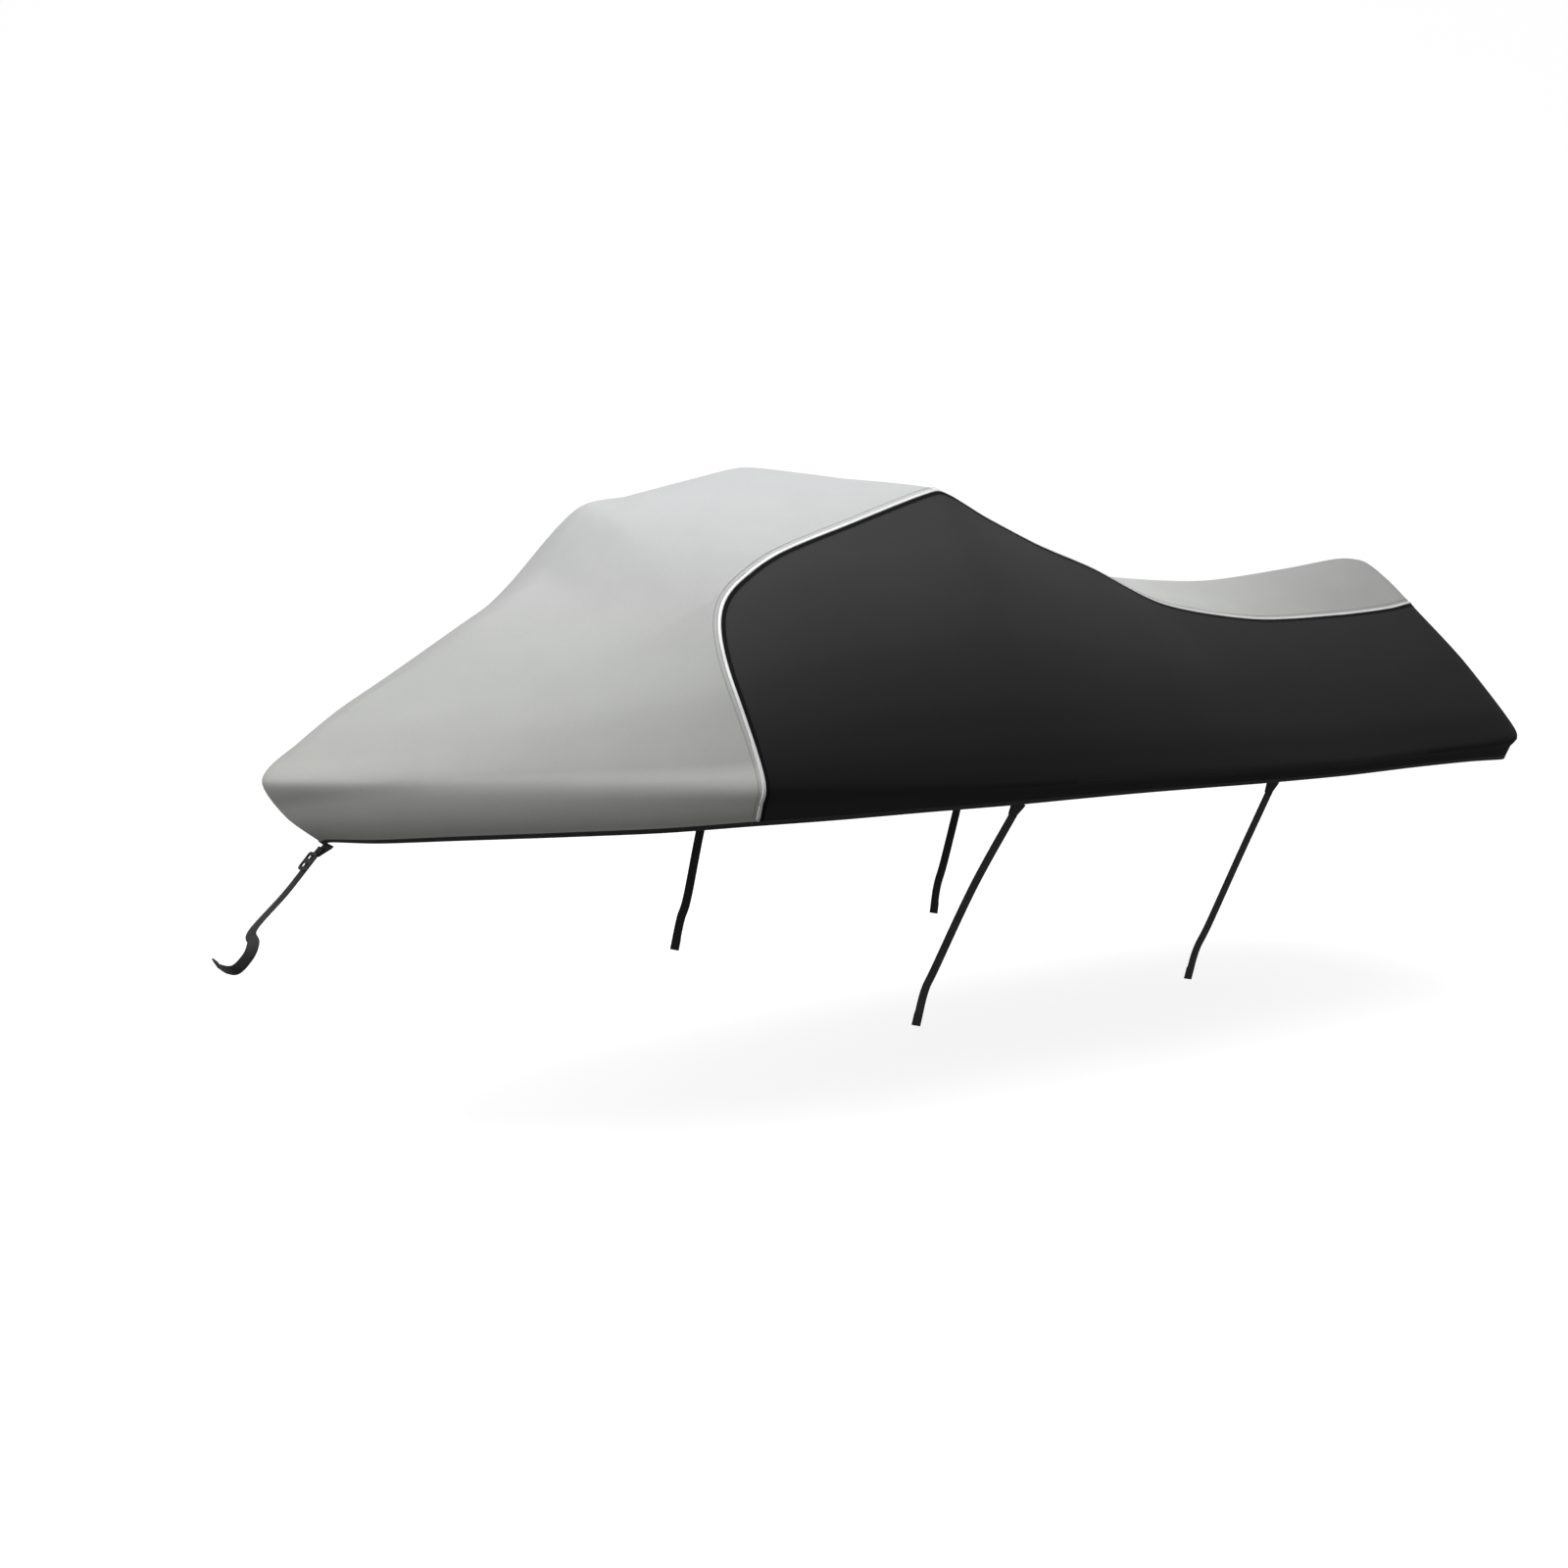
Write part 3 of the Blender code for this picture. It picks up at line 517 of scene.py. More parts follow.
def side_half():
    v = level_cells(-1, 1, 10.0, True, True)[:, None]
    shares = station_cells(CORNER_STATION, STERN, True) - CORNER_STATION
    shares = shares / (STERN - CORNER_STATION)
    start = seam_station(v)
    s = start + (STERN - start) * shares
    half = half_panel(s, v + 0 * s, -1)
    # The two side cloths are sewn edge to edge on the stern's centreline.
    half[0][:, -1, 0] = 0.0
    return half


# ---- trim


def rounded_profile(width, low, high, corner, steps=3):
    """Cross-section of a flat band of the given width, from low to high, corners rounded."""
    profile = []
    for cx, cy, start in ((1, 1, 0), (-1, 1, 90), (-1, -1, 180), (1, -1, 270)):
        x = cx * (width / 2 - corner)
        y = (high - corner) if cy > 0 else (low + corner)
        for step in range(steps + 1):
            angle = np.radians(start + 90 * step / steps)
            profile.append((x + corner * np.cos(angle), y + corner * np.sin(angle)))
    return profile


def piping(side, material):
    """The reflective bead in the seam between a side panel and the grey ones."""
    half = PIPING_WIDTH / 2
    bead = [(-0.4 * half, -CLOTH), (0.4 * half, -CLOTH), (0.98 * half, 0.0)]
    for degrees in range(20, 161, 20):
        angle = np.radians(degrees)
        bead.append((half * 0.94 * np.cos(angle), PIPING_PROUD * np.sin(angle) ** 0.7))
    bead.append((-0.98 * half, 0.0))
    every = np.append(np.arange(0, len(SEAM_POINTS) - 1, 3), len(SEAM_POINTS) - 1)
    points, outs, sides = SEAM_POINTS[every], SEAM_OUTWARD[every], SEAM_SIDE[every]
    points[0] += unit(cloth(SEAM_STATION, -1)[2]) * (BINDING_HEIGHT + SEWN_GAP)
    points[-1, 0] = SEWN_GAP
    outs[-1, 0] = sides[-1, 0] = 0.0
    after = np.linalg.norm(points - points[0], axis=1) > BINDING_HEIGHT
    after[0] = True
    points, outs, sides = points[after], outs[after], sides[after]
    rings = rings_along(points, sides, outs, [bead] * len(points))
    label = "port" if side > 0 else "starboard"
    if side < 0:
        rings = starboard(rings)
    return rings_mesh(f"piping_{label}_bead", rings, [material])


def all_round(values):
    """A port line from bow to stern, carried on down the starboard side to the bow."""
    return np.concatenate([values, starboard(values)[-2:0:-1]])


def hem_frames():
    """Hem points, outward and upward directions all the way round, bow to bow."""
    even = np.linspace(0, STERN, 900)
    along = lengths_along(cloth(even, -1)[0])
    stations = np.interp(np.linspace(0, 1, round(PORT_HEM / CELL)), along / along[-1], even)
    stations[0], stations[-1] = 0, STERN
    points, _, upward = cloth(stations, -1)
    return [all_round(values) for values in (points, outward(stations, -1), unit(upward))]


def binding(material):
    """The folded tape round the lower edge, as one closed ring of rounded section."""
    points, outs, ups = hem_frames()
    front, back = BINDING_LIP, -CLOTH - BINDING_LIP
    top, fold = BINDING_HEIGHT, 0.0014
    section = [
        (front * 0.4, top), (front, top - 0.0010), (front * 1.05, top * 0.72),
        (front * 0.55, top * 0.60), (front * 1.05, top * 0.46), (front, fold),
        (front * 0.3, 0.0), ((front + back) / 2, -0.0004), (back * 0.8, 0.0),
        (back, fold), (back, top - 0.0010), (back * 0.8, top),
    ]
    rings = rings_along(points, outs, ups, [section] * len(points))
    return rings_mesh("hem_binding_tape", rings, [material], closed=True)


def bow_tape(material):
    levels = np.linspace(-1, 0, 60)
    outs = outward(0, levels)
    points = cloth(0, levels)[0] + outs * SEWN_GAP
    points[0] += unit(cloth(0, -1)[2]) * (BINDING_HEIGHT + 3 * SEWN_GAP)
    beyond = (points - points[0]) @ unit(points[3] - points[0]) > 0.003
    beyond[0] = True
    points, outs = points[beyond], outs[beyond]
    sides = np.tile([1.0, 0.0, 0.0], (len(points), 1))
    profile = rounded_profile(TAPE_WIDTH, 0.0, TAPE, 0.0004)
    rings = rings_along(points, sides, outs, [profile] * len(points))
    return rings_mesh("bow_seam_tape_strip", rings, [material])


def stitches(name, rows, material, length=0.0034, pitch=0.0046, width=0.0008):
    """Rows of raised stitches. A row is (points, outward directions). Each stitch is four
    triangles of points, small at its ends, where it dives into the cloth."""
    rings = [(-0.5, 0.35, 0.0), (-0.25, 1, 0.5), (0.25, 1, 0.5), (0.5, 0.35, 0.0)]
    triangle = [(-0.5, -0.2), (0.0, 0.5), (0.5, -0.2)]
    vertices, faces = [], []
    for points, outs in rows:
        both = resampled(np.hstack([points, outs]), pitch)
        centres, normals = both[:, :3], unit(both[:, 3:])
        runs = unit(np.gradient(centres, axis=0))
        sides = np.cross(normals, runs)
        for centre, normal, run, side in zip(centres, normals, runs, sides):
            first = len(vertices)
            for along, thick, rise in rings:
                middle = centre + run * along * length + normal * rise * width * 0.5
                for across, up in triangle:
                    at_side = middle + side * across * width * thick
                    vertices.append(at_side + normal * up * width * thick)
            for ring in range(3):
                for k in range(3):
                    a, b = first + 3 * ring + k, first + 3 * ring + (k + 1) % 3
                    faces.append((a, b, b + 3, a + 3))
            faces.append((first, first + 2, first + 1))
            faces.append((first + 9, first + 10, first + 11))
    return new_piece(name, vertices, faces, [material])


def seam_stitch_row(towards):
    """The stitch line beside the piping."""
    offset = PIPING_WIDTH / 2 + STITCH_OFFSET
    points = SEAM_POINTS + SEAM_SIDE * towards * offset + SEAM_OUTWARD * 0.0004
    return points[12:-2], SEAM_OUTWARD[12:-2]


def hem_stitch_row():
    points, outs, ups = hem_frames()
    points = points + outs * (BINDING_LIP * 0.8) + ups * BINDING_HEIGHT * 0.6
    return np.vstack([points, points[:1]]), np.vstack([outs, outs[:1]])


# ---- straps


def smooth_route(points):
    points = np.array(points)
    padded = np.vstack([2 * points[0] - points[1], points, 2 * points[-1] - points[-2]])
    route = [
        curve(*padded[k : k + 4], step / ROUTE_STEPS, 0.5, 0.5)[0]
        for k in range(len(points) - 1)
        for step in range(ROUTE_STEPS)
    ]
    return np.array(route + [points[-1]])


def hem_at(y):
    """The station at which the port hem passes y."""
    low, high = 0.0, float(STERN)
    for _ in range(40):
        middle = (low + high) / 2
        low, high = (middle, high) if cloth(middle, -1)[0][1] < y else (low, middle)
    return low


def strap_root(s, first):
    """Where a strap leaves the hem at station s towards the point first: its root, the ways
    down, across and out of it, and how far its front lies from the cloth's face there."""
    root, along, upward = cloth(s, -1)
    down = unit(first - root)
    across = unit(along - down * np.dot(along, down))
    face = unit(np.cross(across, down))
    if np.dot(face, outward(s, -1) + unit(upward)) < 0:
        face = -face
    tilt = np.dot(face, outward(s, -1))
    front = min(BINDING_LIP * tilt, -(CLOTH + BINDING_LIP) * tilt) - SEWN_GAP
    return root, down, across, face, front


def route_from(frame, points):
    """A strap's route: over its tab, then on through the points."""
    root, down, _, face, front = frame
    on_tab = root + face * (front + SEWN_GAP + WEBBING)
    return smooth_route([on_tab + down * STRAP_START, on_tab + down * TAB_DROP] + points)


def band(name, route, faces, material):
    """Webbing along route, facing the given ways, its last stretch turned under."""
    runs = np.gradient(route, axis=0)
    sides = unit(np.cross(faces, runs))
    outwards = unit(np.cross(runs, sides))
    along = lengths_along(route)
    left = along[-1] - along
    doubled = np.clip((TURNED_END - left) / 0.004 + 0.5, 0, 1)
    profiles = [
        rounded_profile(WEBBING_WIDTH, -WEBBING * (1 + share), 0.0, 0.0008, 2)
        for share in doubled
    ]
    piece = rings_mesh(name, rings_along(route, sides, outwards, profiles), [material])
    across = np.tile([a for a, _ in profiles[0]], len(route))
    set_uv(piece.data, np.stack([across, np.repeat(along, len(profiles[0]))], axis=1))
    return piece, (route, sides, outwards, along)


def tab(name, root, down, across, face, front, material, bend=0.0):
    """The trapezoid of doubled webbing between hem and strap, a little puckered at its foot."""
    drops = [-TAB_RISE, 0.0, TAB_DROP]
    widths = [TAB_TOP_WIDTH, TAB_MIDDLE_WIDTH, WEBBING_WIDTH]
    places = np.linspace(-0.5, 0.5, 9)
    edge = 0.0005 * (np.abs(places) > 0.49)
    rings = []
    for drop in np.linspace(-TAB_RISE, TAB_DROP, 16):
        width = np.interp(drop, drops, widths)
        depth = front - np.interp(drop, drops, [bend, bend, 0.0]) * np.abs(places) * 2
        line = [root + down * drop + across * width * place for place in places]
        front_line = [p + face * (d - e) for p, d, e in zip(line, depth, edge)]
        back_line = [p + face * (d - WEBBING + e) for p, d, e in zip(line, depth, edge)]
        rings.append(front_line + back_line[::-1])
    return rings_mesh(name, rings, [material])


def box_stitch(centre, down, across, face, height):
    """A sewn rectangle with a cross in it, as rows for stitches()."""
    a, d = across * BOX_STITCH / 2, down * height / 2
    corners = [centre - a - d, centre + a - d, centre + a + d, centre - a + d]
    lines = [[corners[k], corners[(k + 1) % 4]] for k in range(4)]
    lines += [[corners[0], corners[2]], [corners[1], corners[3]]]
    return [(np.array(line), np.array([face, face])) for line in lines]


def turned_end_stitches(route, sides, outwards, along):
    """The sewn rectangle that holds a strap's turned-under end."""
    end = len(route) - 1
    at = np.searchsorted(along, along[-1] - TURNED_END * 0.5)
    down = unit(route[end] - route[at])
    centre = route[at] + outwards[at] * 0.0002
    return box_stitch(centre, down, sides[at], outwards[at], BOX_STITCH)


def tab_stitches(root, down, across, face, front):
    """The sewn rectangle that holds a strap on its tab."""
    centre = root + face * (front + 2 * WEBBING + SEWN_GAP) + down * TAB_BOX_DROP
    return box_stitch(centre, down, across, face, TAB_BOX_HEIGHT)


def buckle(on_strap, down, face, material):
    """A moulded slotted adjuster: a rounded frame with a middle bar."""
    across = unit(np.cross(down, face))
    face = np.cross(across, down)
    half_width, half_length = BUCKLE_WIDTH / 2, BUCKLE_LENGTH / 2
    outline = rounded_profile(BUCKLE_WIDTH, -half_length, half_length, BUCKLE_CORNER, 5)
    centre = on_strap + face * 0.001
    mesh = bmesh.new()
    rings = []
    for height, inset in ((0.0, 0.0008), (0.0008, 0.0), (0.0036, 0.0), (0.0050, 0.0012)):
        wide, long = 1 - inset / half_width, 1 - inset / half_length
        rings.append([
            mesh.verts.new(centre + across * a * wide + down * b * long + face * height)
            for a, b in outline
        ])
    for low, high in zip(rings, rings[1:]):
        for k in range(len(low)):
            mesh.faces.new((low[k - 1], low[k], high[k], high[k - 1]))
    mesh.faces.new(rings[0])
    mesh.faces.new(rings[-1])
    bmesh.ops.recalc_face_normals(mesh, faces=mesh.faces)
    piece = new_piece("bow_strap_adjuster", [], [], [material])
    mesh.to_mesh(piece.data)
    mesh.free()
    placing = Matrix(np.column_stack([across, down, face]).tolist()).to_4x4()
    for along in BUCKLE_SLOTS_AT:
        cutter_mesh = bmesh.new()
        placing.translation = Vector(centre + down * along)
        slot = placing @ Matrix.Diagonal((*BUCKLE_SLOT, 1.0))
        bmesh.ops.create_cube(cutter_mesh, size=1.0, matrix=slot)
        cutter = new_piece("cutter", [], [], [material], smooth=False)
        cutter_mesh.to_mesh(cutter.data)
        cutter_mesh.free()
        cut = piece.modifiers.new("slot", "BOOLEAN")
        cut.operation, cut.solver, cut.object = "DIFFERENCE", "EXACT", cutter
        bake(piece)
        bpy.data.objects.remove(cutter, do_unlink=True)
    sharpen(piece, 35)
    soft = piece.modifiers.new("soft edges", "BEVEL")
    soft.width, soft.segments, soft.limit_method = 0.0006, 2, "ANGLE"
    return piece


# ---- materials


class Nodes:
    """Short hand for the nodes of a material, or of a world."""

    def __init__(self, name, world=None):
        self.material = world or bpy.data.materials.new(name)
        self.material.use_nodes = True
        self.tree = self.material.node_tree
        self.shader = self.tree.nodes["Background" if world else "Principled BSDF"]

    def add(self, kind, inputs=None, **settings):
        """A new node. inputs maps the names or numbers of its sockets to what they get."""
        node = self.tree.nodes.new(kind)
        for key, value in settings.items():
            setattr(node, key, value)
        for key, value in (inputs or {}).items():
            self.feed(key, value, node)
        return node

    def feed(self, key, value, node=None):
        """Joins an output to a socket of the node or of the shader, or sets a value there."""
        socket = (node or self.shader).inputs[key]
        if isinstance(value, bpy.types.NodeSocket):
            self.tree.links.new(value, socket)
        else:
            socket.default_value = value

    def place(self, kind):
        return self.add("ShaderNodeTexCoord").outputs[kind]

    def split(self, vector):
        return self.add("ShaderNodeSeparateXYZ", {0: vector}).outputs

    def measure(self, name):
        """A length kept on the mesh's points."""
        return self.add("ShaderNodeAttribute", attribute_name=name).outputs["Fac"]

    def math(self, operation, *values, clamp=False):
        inputs = dict(enumerate(values))
        return self.add("ShaderNodeMath", inputs, operation=operation, use_clamp=clamp).outputs[0]

    def ramp(self, factor, stops):
        node = self.add("ShaderNodeValToRGB", {"Fac": factor})
        elements = node.color_ramp.elements
        while len(elements) < len(stops):
            elements.new(0.5)
        for element, (position, colour) in zip(elements, stops):
            element.position = position
            element.color = (*colour, 1.0)
        return node.outputs["Color"]

    def noise(self, vector, scale, detail=4.0, roughness=0.55):
        inputs = {"Vector": vector, "Scale": scale, "Detail": detail, "Roughness": roughness}
        return self.add("ShaderNodeTexNoise", inputs).outputs["Fac"]

    def bump(self, height, strength, distance, normal=None):
        inputs = {"Height": height, "Strength": strength, "Distance": distance}
        if normal is not None:
            inputs["Normal"] = normal
        return self.add("ShaderNodeBump", inputs).outputs["Normal"]

    def mix(self, kind, factor, first, second):
        inputs = {0: factor, 6: first, 7: second}
        return self.add("ShaderNodeMix", inputs, data_type="RGBA", blend_type=kind).outputs[2]


def greys(*stops):
    return [(position, (tone, tone, tone)) for position, tone in stops]


def oxford_cloth(name, tones_and_painted_shading, rail_painted_shading, aft_painted_shading, seam, roughness, sheen, shine):
    """Coated polyester of oxford weave: paired threads, a faint unevenness of the coating,
    soft pulls, painted light and shade that change with height, distance from the hem and
    distance aft, and the cloth along its seam in the colour and width that seam gives."""
    nodes = Nodes(name)
    place, solid = nodes.split(nodes.place("UV")), nodes.place("Object")
    warp = nodes.math("SINE", nodes.math("MULTIPLY", place["X"], 2 * np.pi / WARP))
    weft = nodes.math("SINE", nodes.math("MULTIPLY", place["Y"], 2 * np.pi / WEFT))
    weave = nodes.math("MULTIPLY", warp, weft)
    broad = nodes.noise(solid, 2.3, 3.0)
    cloudy = nodes.noise(solid, 11.0, 5.0, 0.6)
    threads = nodes.noise(solid, 420.0, 2.0)

    # The cloth's own colour with painted light and shade, by height, by distance from the hem
    # and by distance aft
    height = nodes.split(solid)
    level = nodes.math("ADD", nodes.math("MULTIPLY", height["Z"], 1.25), 0.95)
    level = nodes.math("ADD", level, nodes.math("MULTIPLY", broad, 0.10), clamp=True)
    shade = nodes.ramp(level, tones_and_painted_shading)
    # Painted light and shade about the rub rail
    from_hem = nodes.math("DIVIDE", nodes.measure("hem_distance"), RAIL_REACH, clamp=True)
    shade = nodes.mix("MULTIPLY", 1.0, shade, nodes.ramp(from_hem, rail_painted_shading))
    # Painted light and shade that change from the handlebar aft
    aft = nodes.math("DIVIDE", height["Y"], AFT_REACH, clamp=True)
    shade = nodes.mix("MULTIPLY", 1.0, shade, nodes.ramp(aft, aft_painted_shading))
    mottle = nodes.ramp(cloudy, greys((0.25, 0.93), (0.75, 1.0)))
    shade = nodes.mix("MULTIPLY", 0.8, shade, mottle)
    thread_tone = nodes.ramp(threads, greys((0.3, 0.88), (0.7, 1.0)))
    shade = nodes.mix("MULTIPLY", 0.6, shade, thread_tone)

    seam_tone, seam_width = seam
    inside = nodes.math("DIVIDE", nodes.measure("seam_distance"), SEAM_REACH, clamp=True)
    width = seam_width / SEAM_REACH
    strip = nodes.ramp(inside, greys((0.0, 1), (width, 1), (width + 0.06, 0)))
    nodes.feed("Base Color", nodes.mix("MIX", strip, shade, (*seam_tone, 1.0)))

    crossing, fuzz = nodes.math("MULTIPLY", weave, 0.35), nodes.math("MULTIPLY", threads, 0.5)
    normal = nodes.bump(nodes.math("ADD", crossing, fuzz), 0.35, 0.0003)
    nodes.feed("Normal", nodes.bump(cloudy, 0.12, 0.004, normal))
    rough = greys((0.2, roughness - 0.06), (0.8, roughness + 0.05))
    nodes.feed("Roughness", nodes.ramp(cloudy, rough))
    nodes.feed("Sheen Weight", sheen)
    nodes.feed("Sheen Roughness", 0.5)
    nodes.feed("Specular IOR Level", shine)
    return nodes.material


def mottled(name, colour, dark, patches, grain, depth, roughness):
    """A plain material whose tone wanders down to a dark share of its colour, over patches
    and under a grain that are each the scale and detail of a noise."""
    nodes = Nodes(name)
    solid = nodes.place("Object")
    low = tuple(dark * part for part in colour)
    tone = nodes.ramp(nodes.noise(solid, *patches), [(0.3, low), (0.7, colour)])
    nodes.feed("Base Color", tone)
    nodes.feed("Normal", nodes.bump(nodes.noise(solid, *grain), *depth))
    nodes.feed("Roughness", roughness)
    return nodes.material


def thread(name, colour):
    return mottled(name, colour, 0.7, (1500.0, 2.0), (1500.0, 2.0), (0.4, 0.0002), 0.6)


def reflective_tape(name):
    """Silver piping of fine glass beads, a little worn."""
    nodes = Nodes(name)
    solid = nodes.place("Object")
    beads = nodes.noise(solid, 900.0, 1.0)
    worn = nodes.noise(solid, 18.0, 4.0)
    tone = nodes.ramp(worn, [(0.25, (0.70, 0.71, 0.71)), (0.7, (0.86, 0.87, 0.87))])
    glints = nodes.ramp(beads, greys((0.2, 0.8), (0.8, 1)))
    nodes.feed("Base Color", nodes.mix("MULTIPLY", 0.35, tone, glints))
    nodes.feed("Normal", nodes.bump(beads, 0.25, 0.0003))
    nodes.feed("Roughness", 0.38)
    nodes.feed("Metallic", 0.15)
    return nodes.material


def webbing_weave(name, colour, rib):
    """Black webbing or tape: a herringbone of ribs across its length."""
    nodes = Nodes(name)
    place, solid = nodes.split(nodes.place("UV")), nodes.place("Object")
    lean = nodes.math("SINE", nodes.math("MULTIPLY", place["X"], np.pi / (WEBBING_WIDTH / 4)))
    lean = nodes.math("MULTIPLY", nodes.math("ABSOLUTE", lean), 3.0)
    rows = nodes.math("ADD", nodes.math("MULTIPLY", place["Y"], 2 * np.pi / rib), lean)
    fuzz = nodes.noise(solid, 500.0, 2.0)
    worn = nodes.noise(solid, 30.0, 4.0)
    ribs = nodes.math("ADD", nodes.math("MULTIPLY", nodes.math("SINE", rows), 0.5), fuzz)
    low, high = (tuple(share * part for part in colour) for share in (0.6, 1.5))
    nodes.feed("Base Color", nodes.ramp(worn, [(0.3, low), (0.55, colour), (0.8, high)]))
    nodes.feed("Normal", nodes.bump(ribs, 0.5, 0.0005))
    nodes.feed("Roughness", 0.72)
    nodes.feed("Sheen Weight", 0.12)
    return nodes.material


def moulded_plastic(name):
    nodes = Nodes(name)
    solid = nodes.place("Object")
    grain = nodes.noise(solid, 700.0, 3.0)
    rub = nodes.noise(solid, 45.0, 5.0)
    tone = nodes.ramp(rub, [(0.3, (0.012, 0.012, 0.013)), (0.8, (0.035, 0.035, 0.037))])
    nodes.feed("Base Color", tone)
    nodes.feed("Normal", nodes.bump(grain, 0.25, 0.0003))
    nodes.feed("Roughness", nodes.ramp(rub, greys((0.3, 0.38), (0.8, 0.55))))
    return nodes.material


def stage_material():
    """A white paper sweep, lit through so that it stays white round a faint shadow."""
    nodes = Nodes("studio_floor")
    solid = nodes.place("Object")
    tone = nodes.ramp(nodes.noise(solid, 0.4, 2.0), greys((0.3, 0.44), (0.7, 0.46)))
    nodes.feed("Base Color", tone)
    nodes.feed("Roughness", 1.0)
    nodes.feed("Specular IOR Level", 0.0)
    nodes.feed("Emission Color", (1.0, 1.0, 1.0, 1.0))
    nodes.feed("Emission Strength", 0.82)
    return nodes.material


# ---- stage, light and camera


def place_aimed(data, place, target):
    """Adds a camera or a light at place, turned towards the target."""
    made = bpy.data.objects.new(data.name, data)
    made.location = place
    direction = Vector(target) - made.location
    made.rotation_euler = direction.to_track_quat("-Z", "Y").to_euler()
    bpy.context.scene.collection.objects.link(made)
    return made


def camera():
    data = bpy.data.cameras.new("camera")
    data.lens, data.sensor_width = 63.0, 36.0
    place, target = (5.119, -3.614, 0.259), (-0.18286, 0.23831, -0.77102)
    bpy.context.scene.camera = place_aimed(data, place, target)


def stage():
    """A pale floor below the held-up cover, curving up into a backdrop behind it."""
    away = unit(np.array([-0.809, 0.588, 0.0]))
    across = np.array([away[1], -away[0], 0.0])
    near, far, bend, top, half_width = -14.0, 7.0, 3.0, 14.0, 16.0
    run = [(near, 0.0), (far, 0.0)]
    for angle in np.linspace(0.1, np.pi / 2, 12):
        run.append((far + bend * np.sin(angle), bend * (1 - np.cos(angle))))
    run.append((far + bend, top))
    centre = np.array([0.0, 0.4, FLOOR_HEIGHT])
    rows = np.array([
        centre + away * d + UP * h + across * w for d, h in run for w in (-half_width, half_width)
    ])
    faces = grid_faces(len(run), 2).tolist()
    floor = new_piece("studio_floor", rows, faces, [stage_material()])
    # The sweep lights neither the cloth nor its sheen: the underside stays in shade.
    floor.visible_diffuse = floor.visible_glossy = False


def lighting():
    """A white sky over a dark ground, a soft light overhead and a fill from the bow."""
    world = bpy.data.worlds.new("studio")
    bpy.context.scene.world = world
    nodes = Nodes("sky", world)
    height = nodes.split(nodes.place("Generated"))["Z"]
    lift = nodes.add("ShaderNodeMapRange", {"Value": height, "From Min": -1.0})
    nodes.feed("Color", nodes.ramp(lift.outputs["Result"], SKY))
    nodes.feed("Strength", 1.0)
    for name, place, target, size, energy in LIGHTS:
        data = bpy.data.lights.new(name, "AREA")
        data.shape, data.size, data.size_y, data.energy = "RECTANGLE", *size, energy
        place_aimed(data, place, target)


WARP, WEFT = 0.0011, 0.0013  # pitch of the cloth's threads
RAIL_REACH, AFT_REACH, SEAM_REACH = 0.3, 2.5, 0.02
FLOOR_HEIGHT = -1.454

# Colours of the two cloths by height, from the hem (0) to the handlebar (1): the cloth's own
# colour with painted light and shade that make both lighter towards the top. They and the
# factors below were found by trial against one view, so they hold its light and shade as
# well as the cloth's own colour.
GREY_COLOUR_AND_PAINTED_SHADING = [
    (0.05, (0.46, 0.465, 0.445)), (0.28, (0.44, 0.445, 0.425)),
    (0.50, (0.45, 0.458, 0.445)), (0.95, (0.55, 0.555, 0.56)),
]
BLACK_COLOUR_AND_PAINTED_SHADING = [
    (0.10, (0.0195, 0.0195, 0.0200)), (0.33, (0.0210, 0.0210, 0.0215)),
    (0.50, (0.0315, 0.0315, 0.0320)), (0.70, (0.0490, 0.0490, 0.0495)),
    (0.80, (0.0580, 0.0580, 0.0585)),
]
# Painted light and shade by distance up from the hem (0) to RAIL_REACH (1), as factors on the
# colours by height: the grey darker at the hem and lighter about the rub rail, the black
# darker about it
GREY_RAIL_PAINTED_SHADING = greys(
    (0.05, 0.80), (0.17, 1.06), (0.26, 1.26), (0.33, 1.38), (0.41, 1.38), (0.51, 1.02), (0.8, 1.0)
)
BLACK_RAIL_PAINTED_SHADING = greys((0.15, 1.0), (0.28, 0.60), (0.42, 0.56), (0.60, 0.85), (0.9, 1.0))
# Painted light and shade by distance aft of the handlebar, up to AFT_REACH (1), as factors:
# the grey lighter over the front of the seat and darker towards the stern, the black darker aft
GREY_AFT_PAINTED_SHADING = greys((0.20, 1.0), (0.42, 1.32), (0.52, 1.18), (0.60, 1.0), (0.68, 0.86), (0.78, 0.78))
BLACK_AFT_PAINTED_SHADING = greys((0.25, 1.0), (0.50, 0.85))
# Colour of the cloth beside the seam, and how far it reaches
GREY_SEAM = ((0.40, 0.41, 0.39), 0.0)
BLACK_SEAM = ((0.003, 0.003, 0.0035), 0.0125)
# Tone of the sky from straight down (0) by way of the horizon (0.5) to straight up (1)
SKY = greys((0.0, 0.16), (0.47, 0.17), (0.52, 0.36))
LIGHTS = [
    ("overhead", (1.2, -0.6, 5.0), (0.0, 0.2, -1.0), (6.0, 6.0), 325.0),
    ("bow fill", (2.5, -7.0, 1.2), (0.0, -0.6, -0.6), (4.0, 2.5), 62.0),
    ("screen fill", (-0.9, -5.5, 3.2), (0.0, -0.3, -0.2), (3.0, 3.0), 68.0),
]


# ---- the scene


def both_sides(row):
    return [row, tuple(starboard(line) for line in row)]


def keep(piece, nodes):
    """Rides the piece on the only body, in place of the CAD nodes named."""
    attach(piece, "root")
    if nodes:
        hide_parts(*nodes)
    return piece


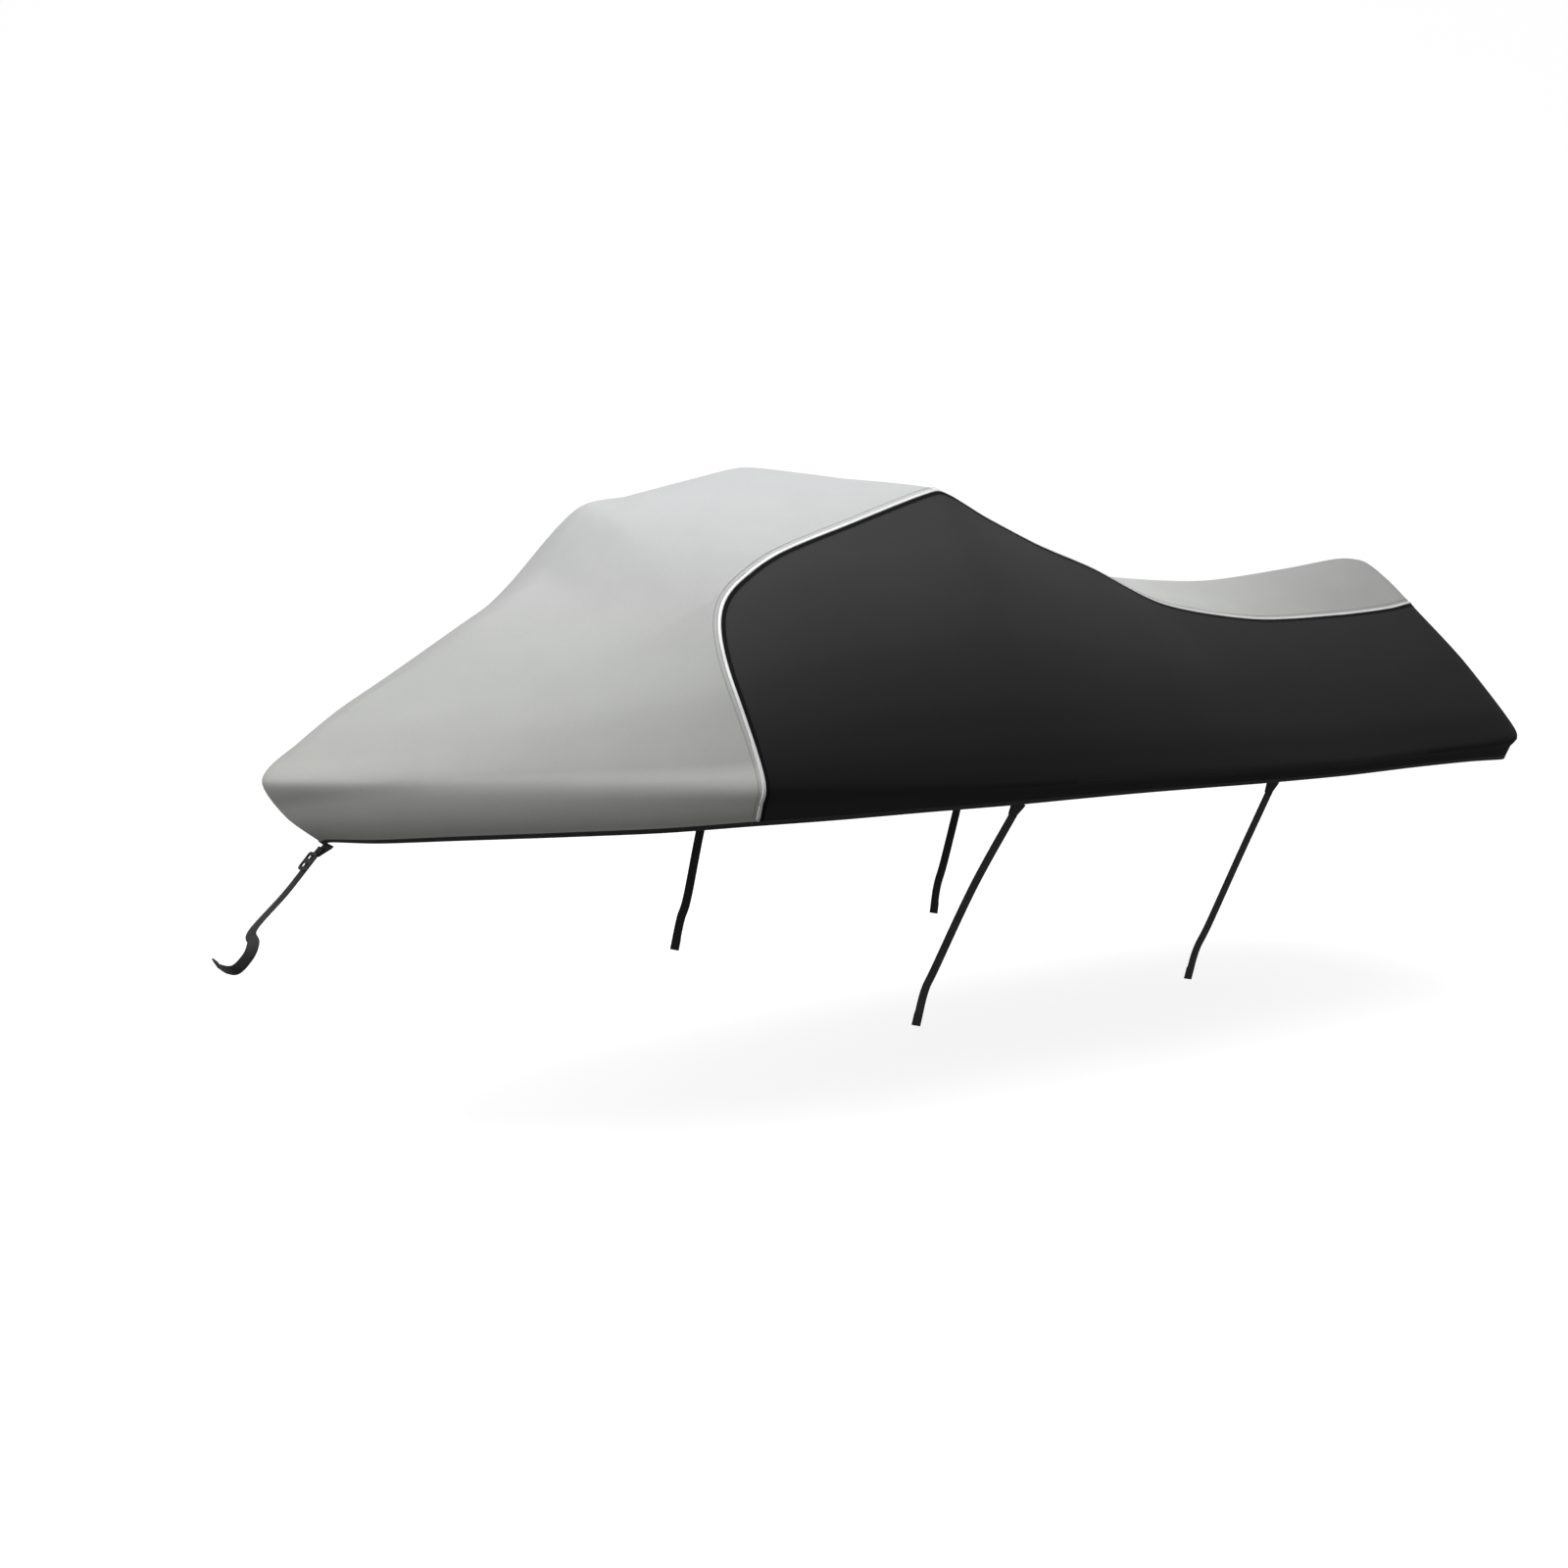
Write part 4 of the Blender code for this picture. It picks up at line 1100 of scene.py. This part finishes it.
def main():
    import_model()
    bpy.context.scene.view_settings.view_transform = "Standard"
    camera()
    stage()
    lighting()

    # Colours of the two cloths, with painted light and shade in them
    tones_and_painted_shading = GREY_COLOUR_AND_PAINTED_SHADING, GREY_RAIL_PAINTED_SHADING, GREY_AFT_PAINTED_SHADING
    grey = oxford_cloth("grey_cloth_oxford", *tones_and_painted_shading, GREY_SEAM, 0.78, 0.12, 0.3)
    tones_and_painted_shading = BLACK_COLOUR_AND_PAINTED_SHADING, BLACK_RAIL_PAINTED_SHADING, BLACK_AFT_PAINTED_SHADING
    black = oxford_cloth("black_cloth_oxford", *tones_and_painted_shading, BLACK_SEAM, 0.74, 0.02, 0.12)
    # The smooth coating on the inside of the cloth
    lining = mottled(
        "coated_inside", (0.32, 0.33, 0.33), 0.82, (14.0, 4.0), (260.0, 2.0), (0.2, 0.0004), 0.45
    )
    silver = reflective_tape("reflective_piping_tape")
    tape = webbing_weave("binding_tape_weave", (0.014, 0.014, 0.015), 0.0016)
    straps = webbing_weave("strap_webbing_weave", (0.016, 0.016, 0.017), 0.0022)
    black_thread = thread("black_thread", (0.02, 0.02, 0.022))
    grey_thread = thread("grey_thread", (0.36, 0.37, 0.36))
    plastic = moulded_plastic("black_moulded_plastic")

    # Its rows are spaced as the hood's are, so that the two weld at the corner.
    handlebar = top_half(CORNER_STATION, JOIN_STATION, 6.0, False, (-1, -1))
    front = panel("grey_front_cloth", [hood_half(), handlebar], (1, -1), grey, lining)
    keep(front, ["hood_panel", "handlebar_panel"])
    seat = top_half(JOIN_STATION, STERN, 9.0, True, (0, 1))
    seat = panel("grey_seat_cloth", [seat], (1, -1), grey, lining)
    keep(seat, ["seat_panel"])
    side = side_half()
    port = panel("side_cloth_port", [side], (1,), black, lining)
    keep(port, ["side_panel_port"])
    other = panel("side_cloth_starboard", [side], (-1,), black, lining)
    keep(other, ["side_panel_starboard"])
    port_piping = keep(piping(1, silver), ["piping_port"])
    other_piping = keep(piping(-1, silver), ["piping_starboard"])
    hem = keep(binding(tape), ["hem_binding"])
    nose_tape = keep(bow_tape(tape), ["bow_seam_tape"])

    black_rows = both_sides(seam_stitch_row(-1)) + [hem_stitch_row()]

    def sew_strap(name, suffix, frame, route, faces, bend=0.0):
        """A strap and its tab, with the stitches that hold them."""
        sewn_tab = tab(f"{name}_tab{suffix}", *frame, straps, bend)
        keep(sewn_tab, [f"{name}_strap_tab{suffix}"])
        strap, laid = band(f"{name}_webbing{suffix}", route, faces, straps)
        keep(strap, [f"{name}_strap{suffix}"])
        black_rows.extend(turned_end_stitches(*laid) + tab_stitches(*frame))

    for name, (hem_y, places) in SIDE_STRAPS.items():
        points = [np.array(place) - ORIGIN for place in places]
        frame = strap_root(hem_at(hem_y - ORIGIN[1]), points[0])
        route = route_from(frame, points)
        sew_strap(name, "_port", frame, route, [frame[3]] * len(route))
        frame = (*(starboard(way) for way in frame[:4]), frame[4])
        sew_strap(name, "_starboard", frame, starboard(route), [frame[3]] * len(route))

    points = [np.array(row[:3]) - ORIGIN for row in BOW_STRAP_POINTS]
    frame = strap_root(0.0, points[0])
    route = route_from(frame, points)
    ways = [frame[3], frame[3]] + [np.array(row[3:]) for row in BOW_STRAP_POINTS]
    ways = unit(smooth_route(ways))
    sew_strap("bow", "", frame, route, ways, BOW_TAB_BEND)
    at = BUCKLE_PLACE
    adjuster = buckle(route[at], unit(route[at + 1] - route[at - 1]), ways[at], plastic)
    keep(adjuster, ["bow_strap_buckle"])

    keep(stitches("black_stitching", black_rows, black_thread), None)
    grey_rows = both_sides(seam_stitch_row(1))
    keep(stitches("grey_stitching", grey_rows, grey_thread), None)

    bpy.context.view_layer.update()


main()
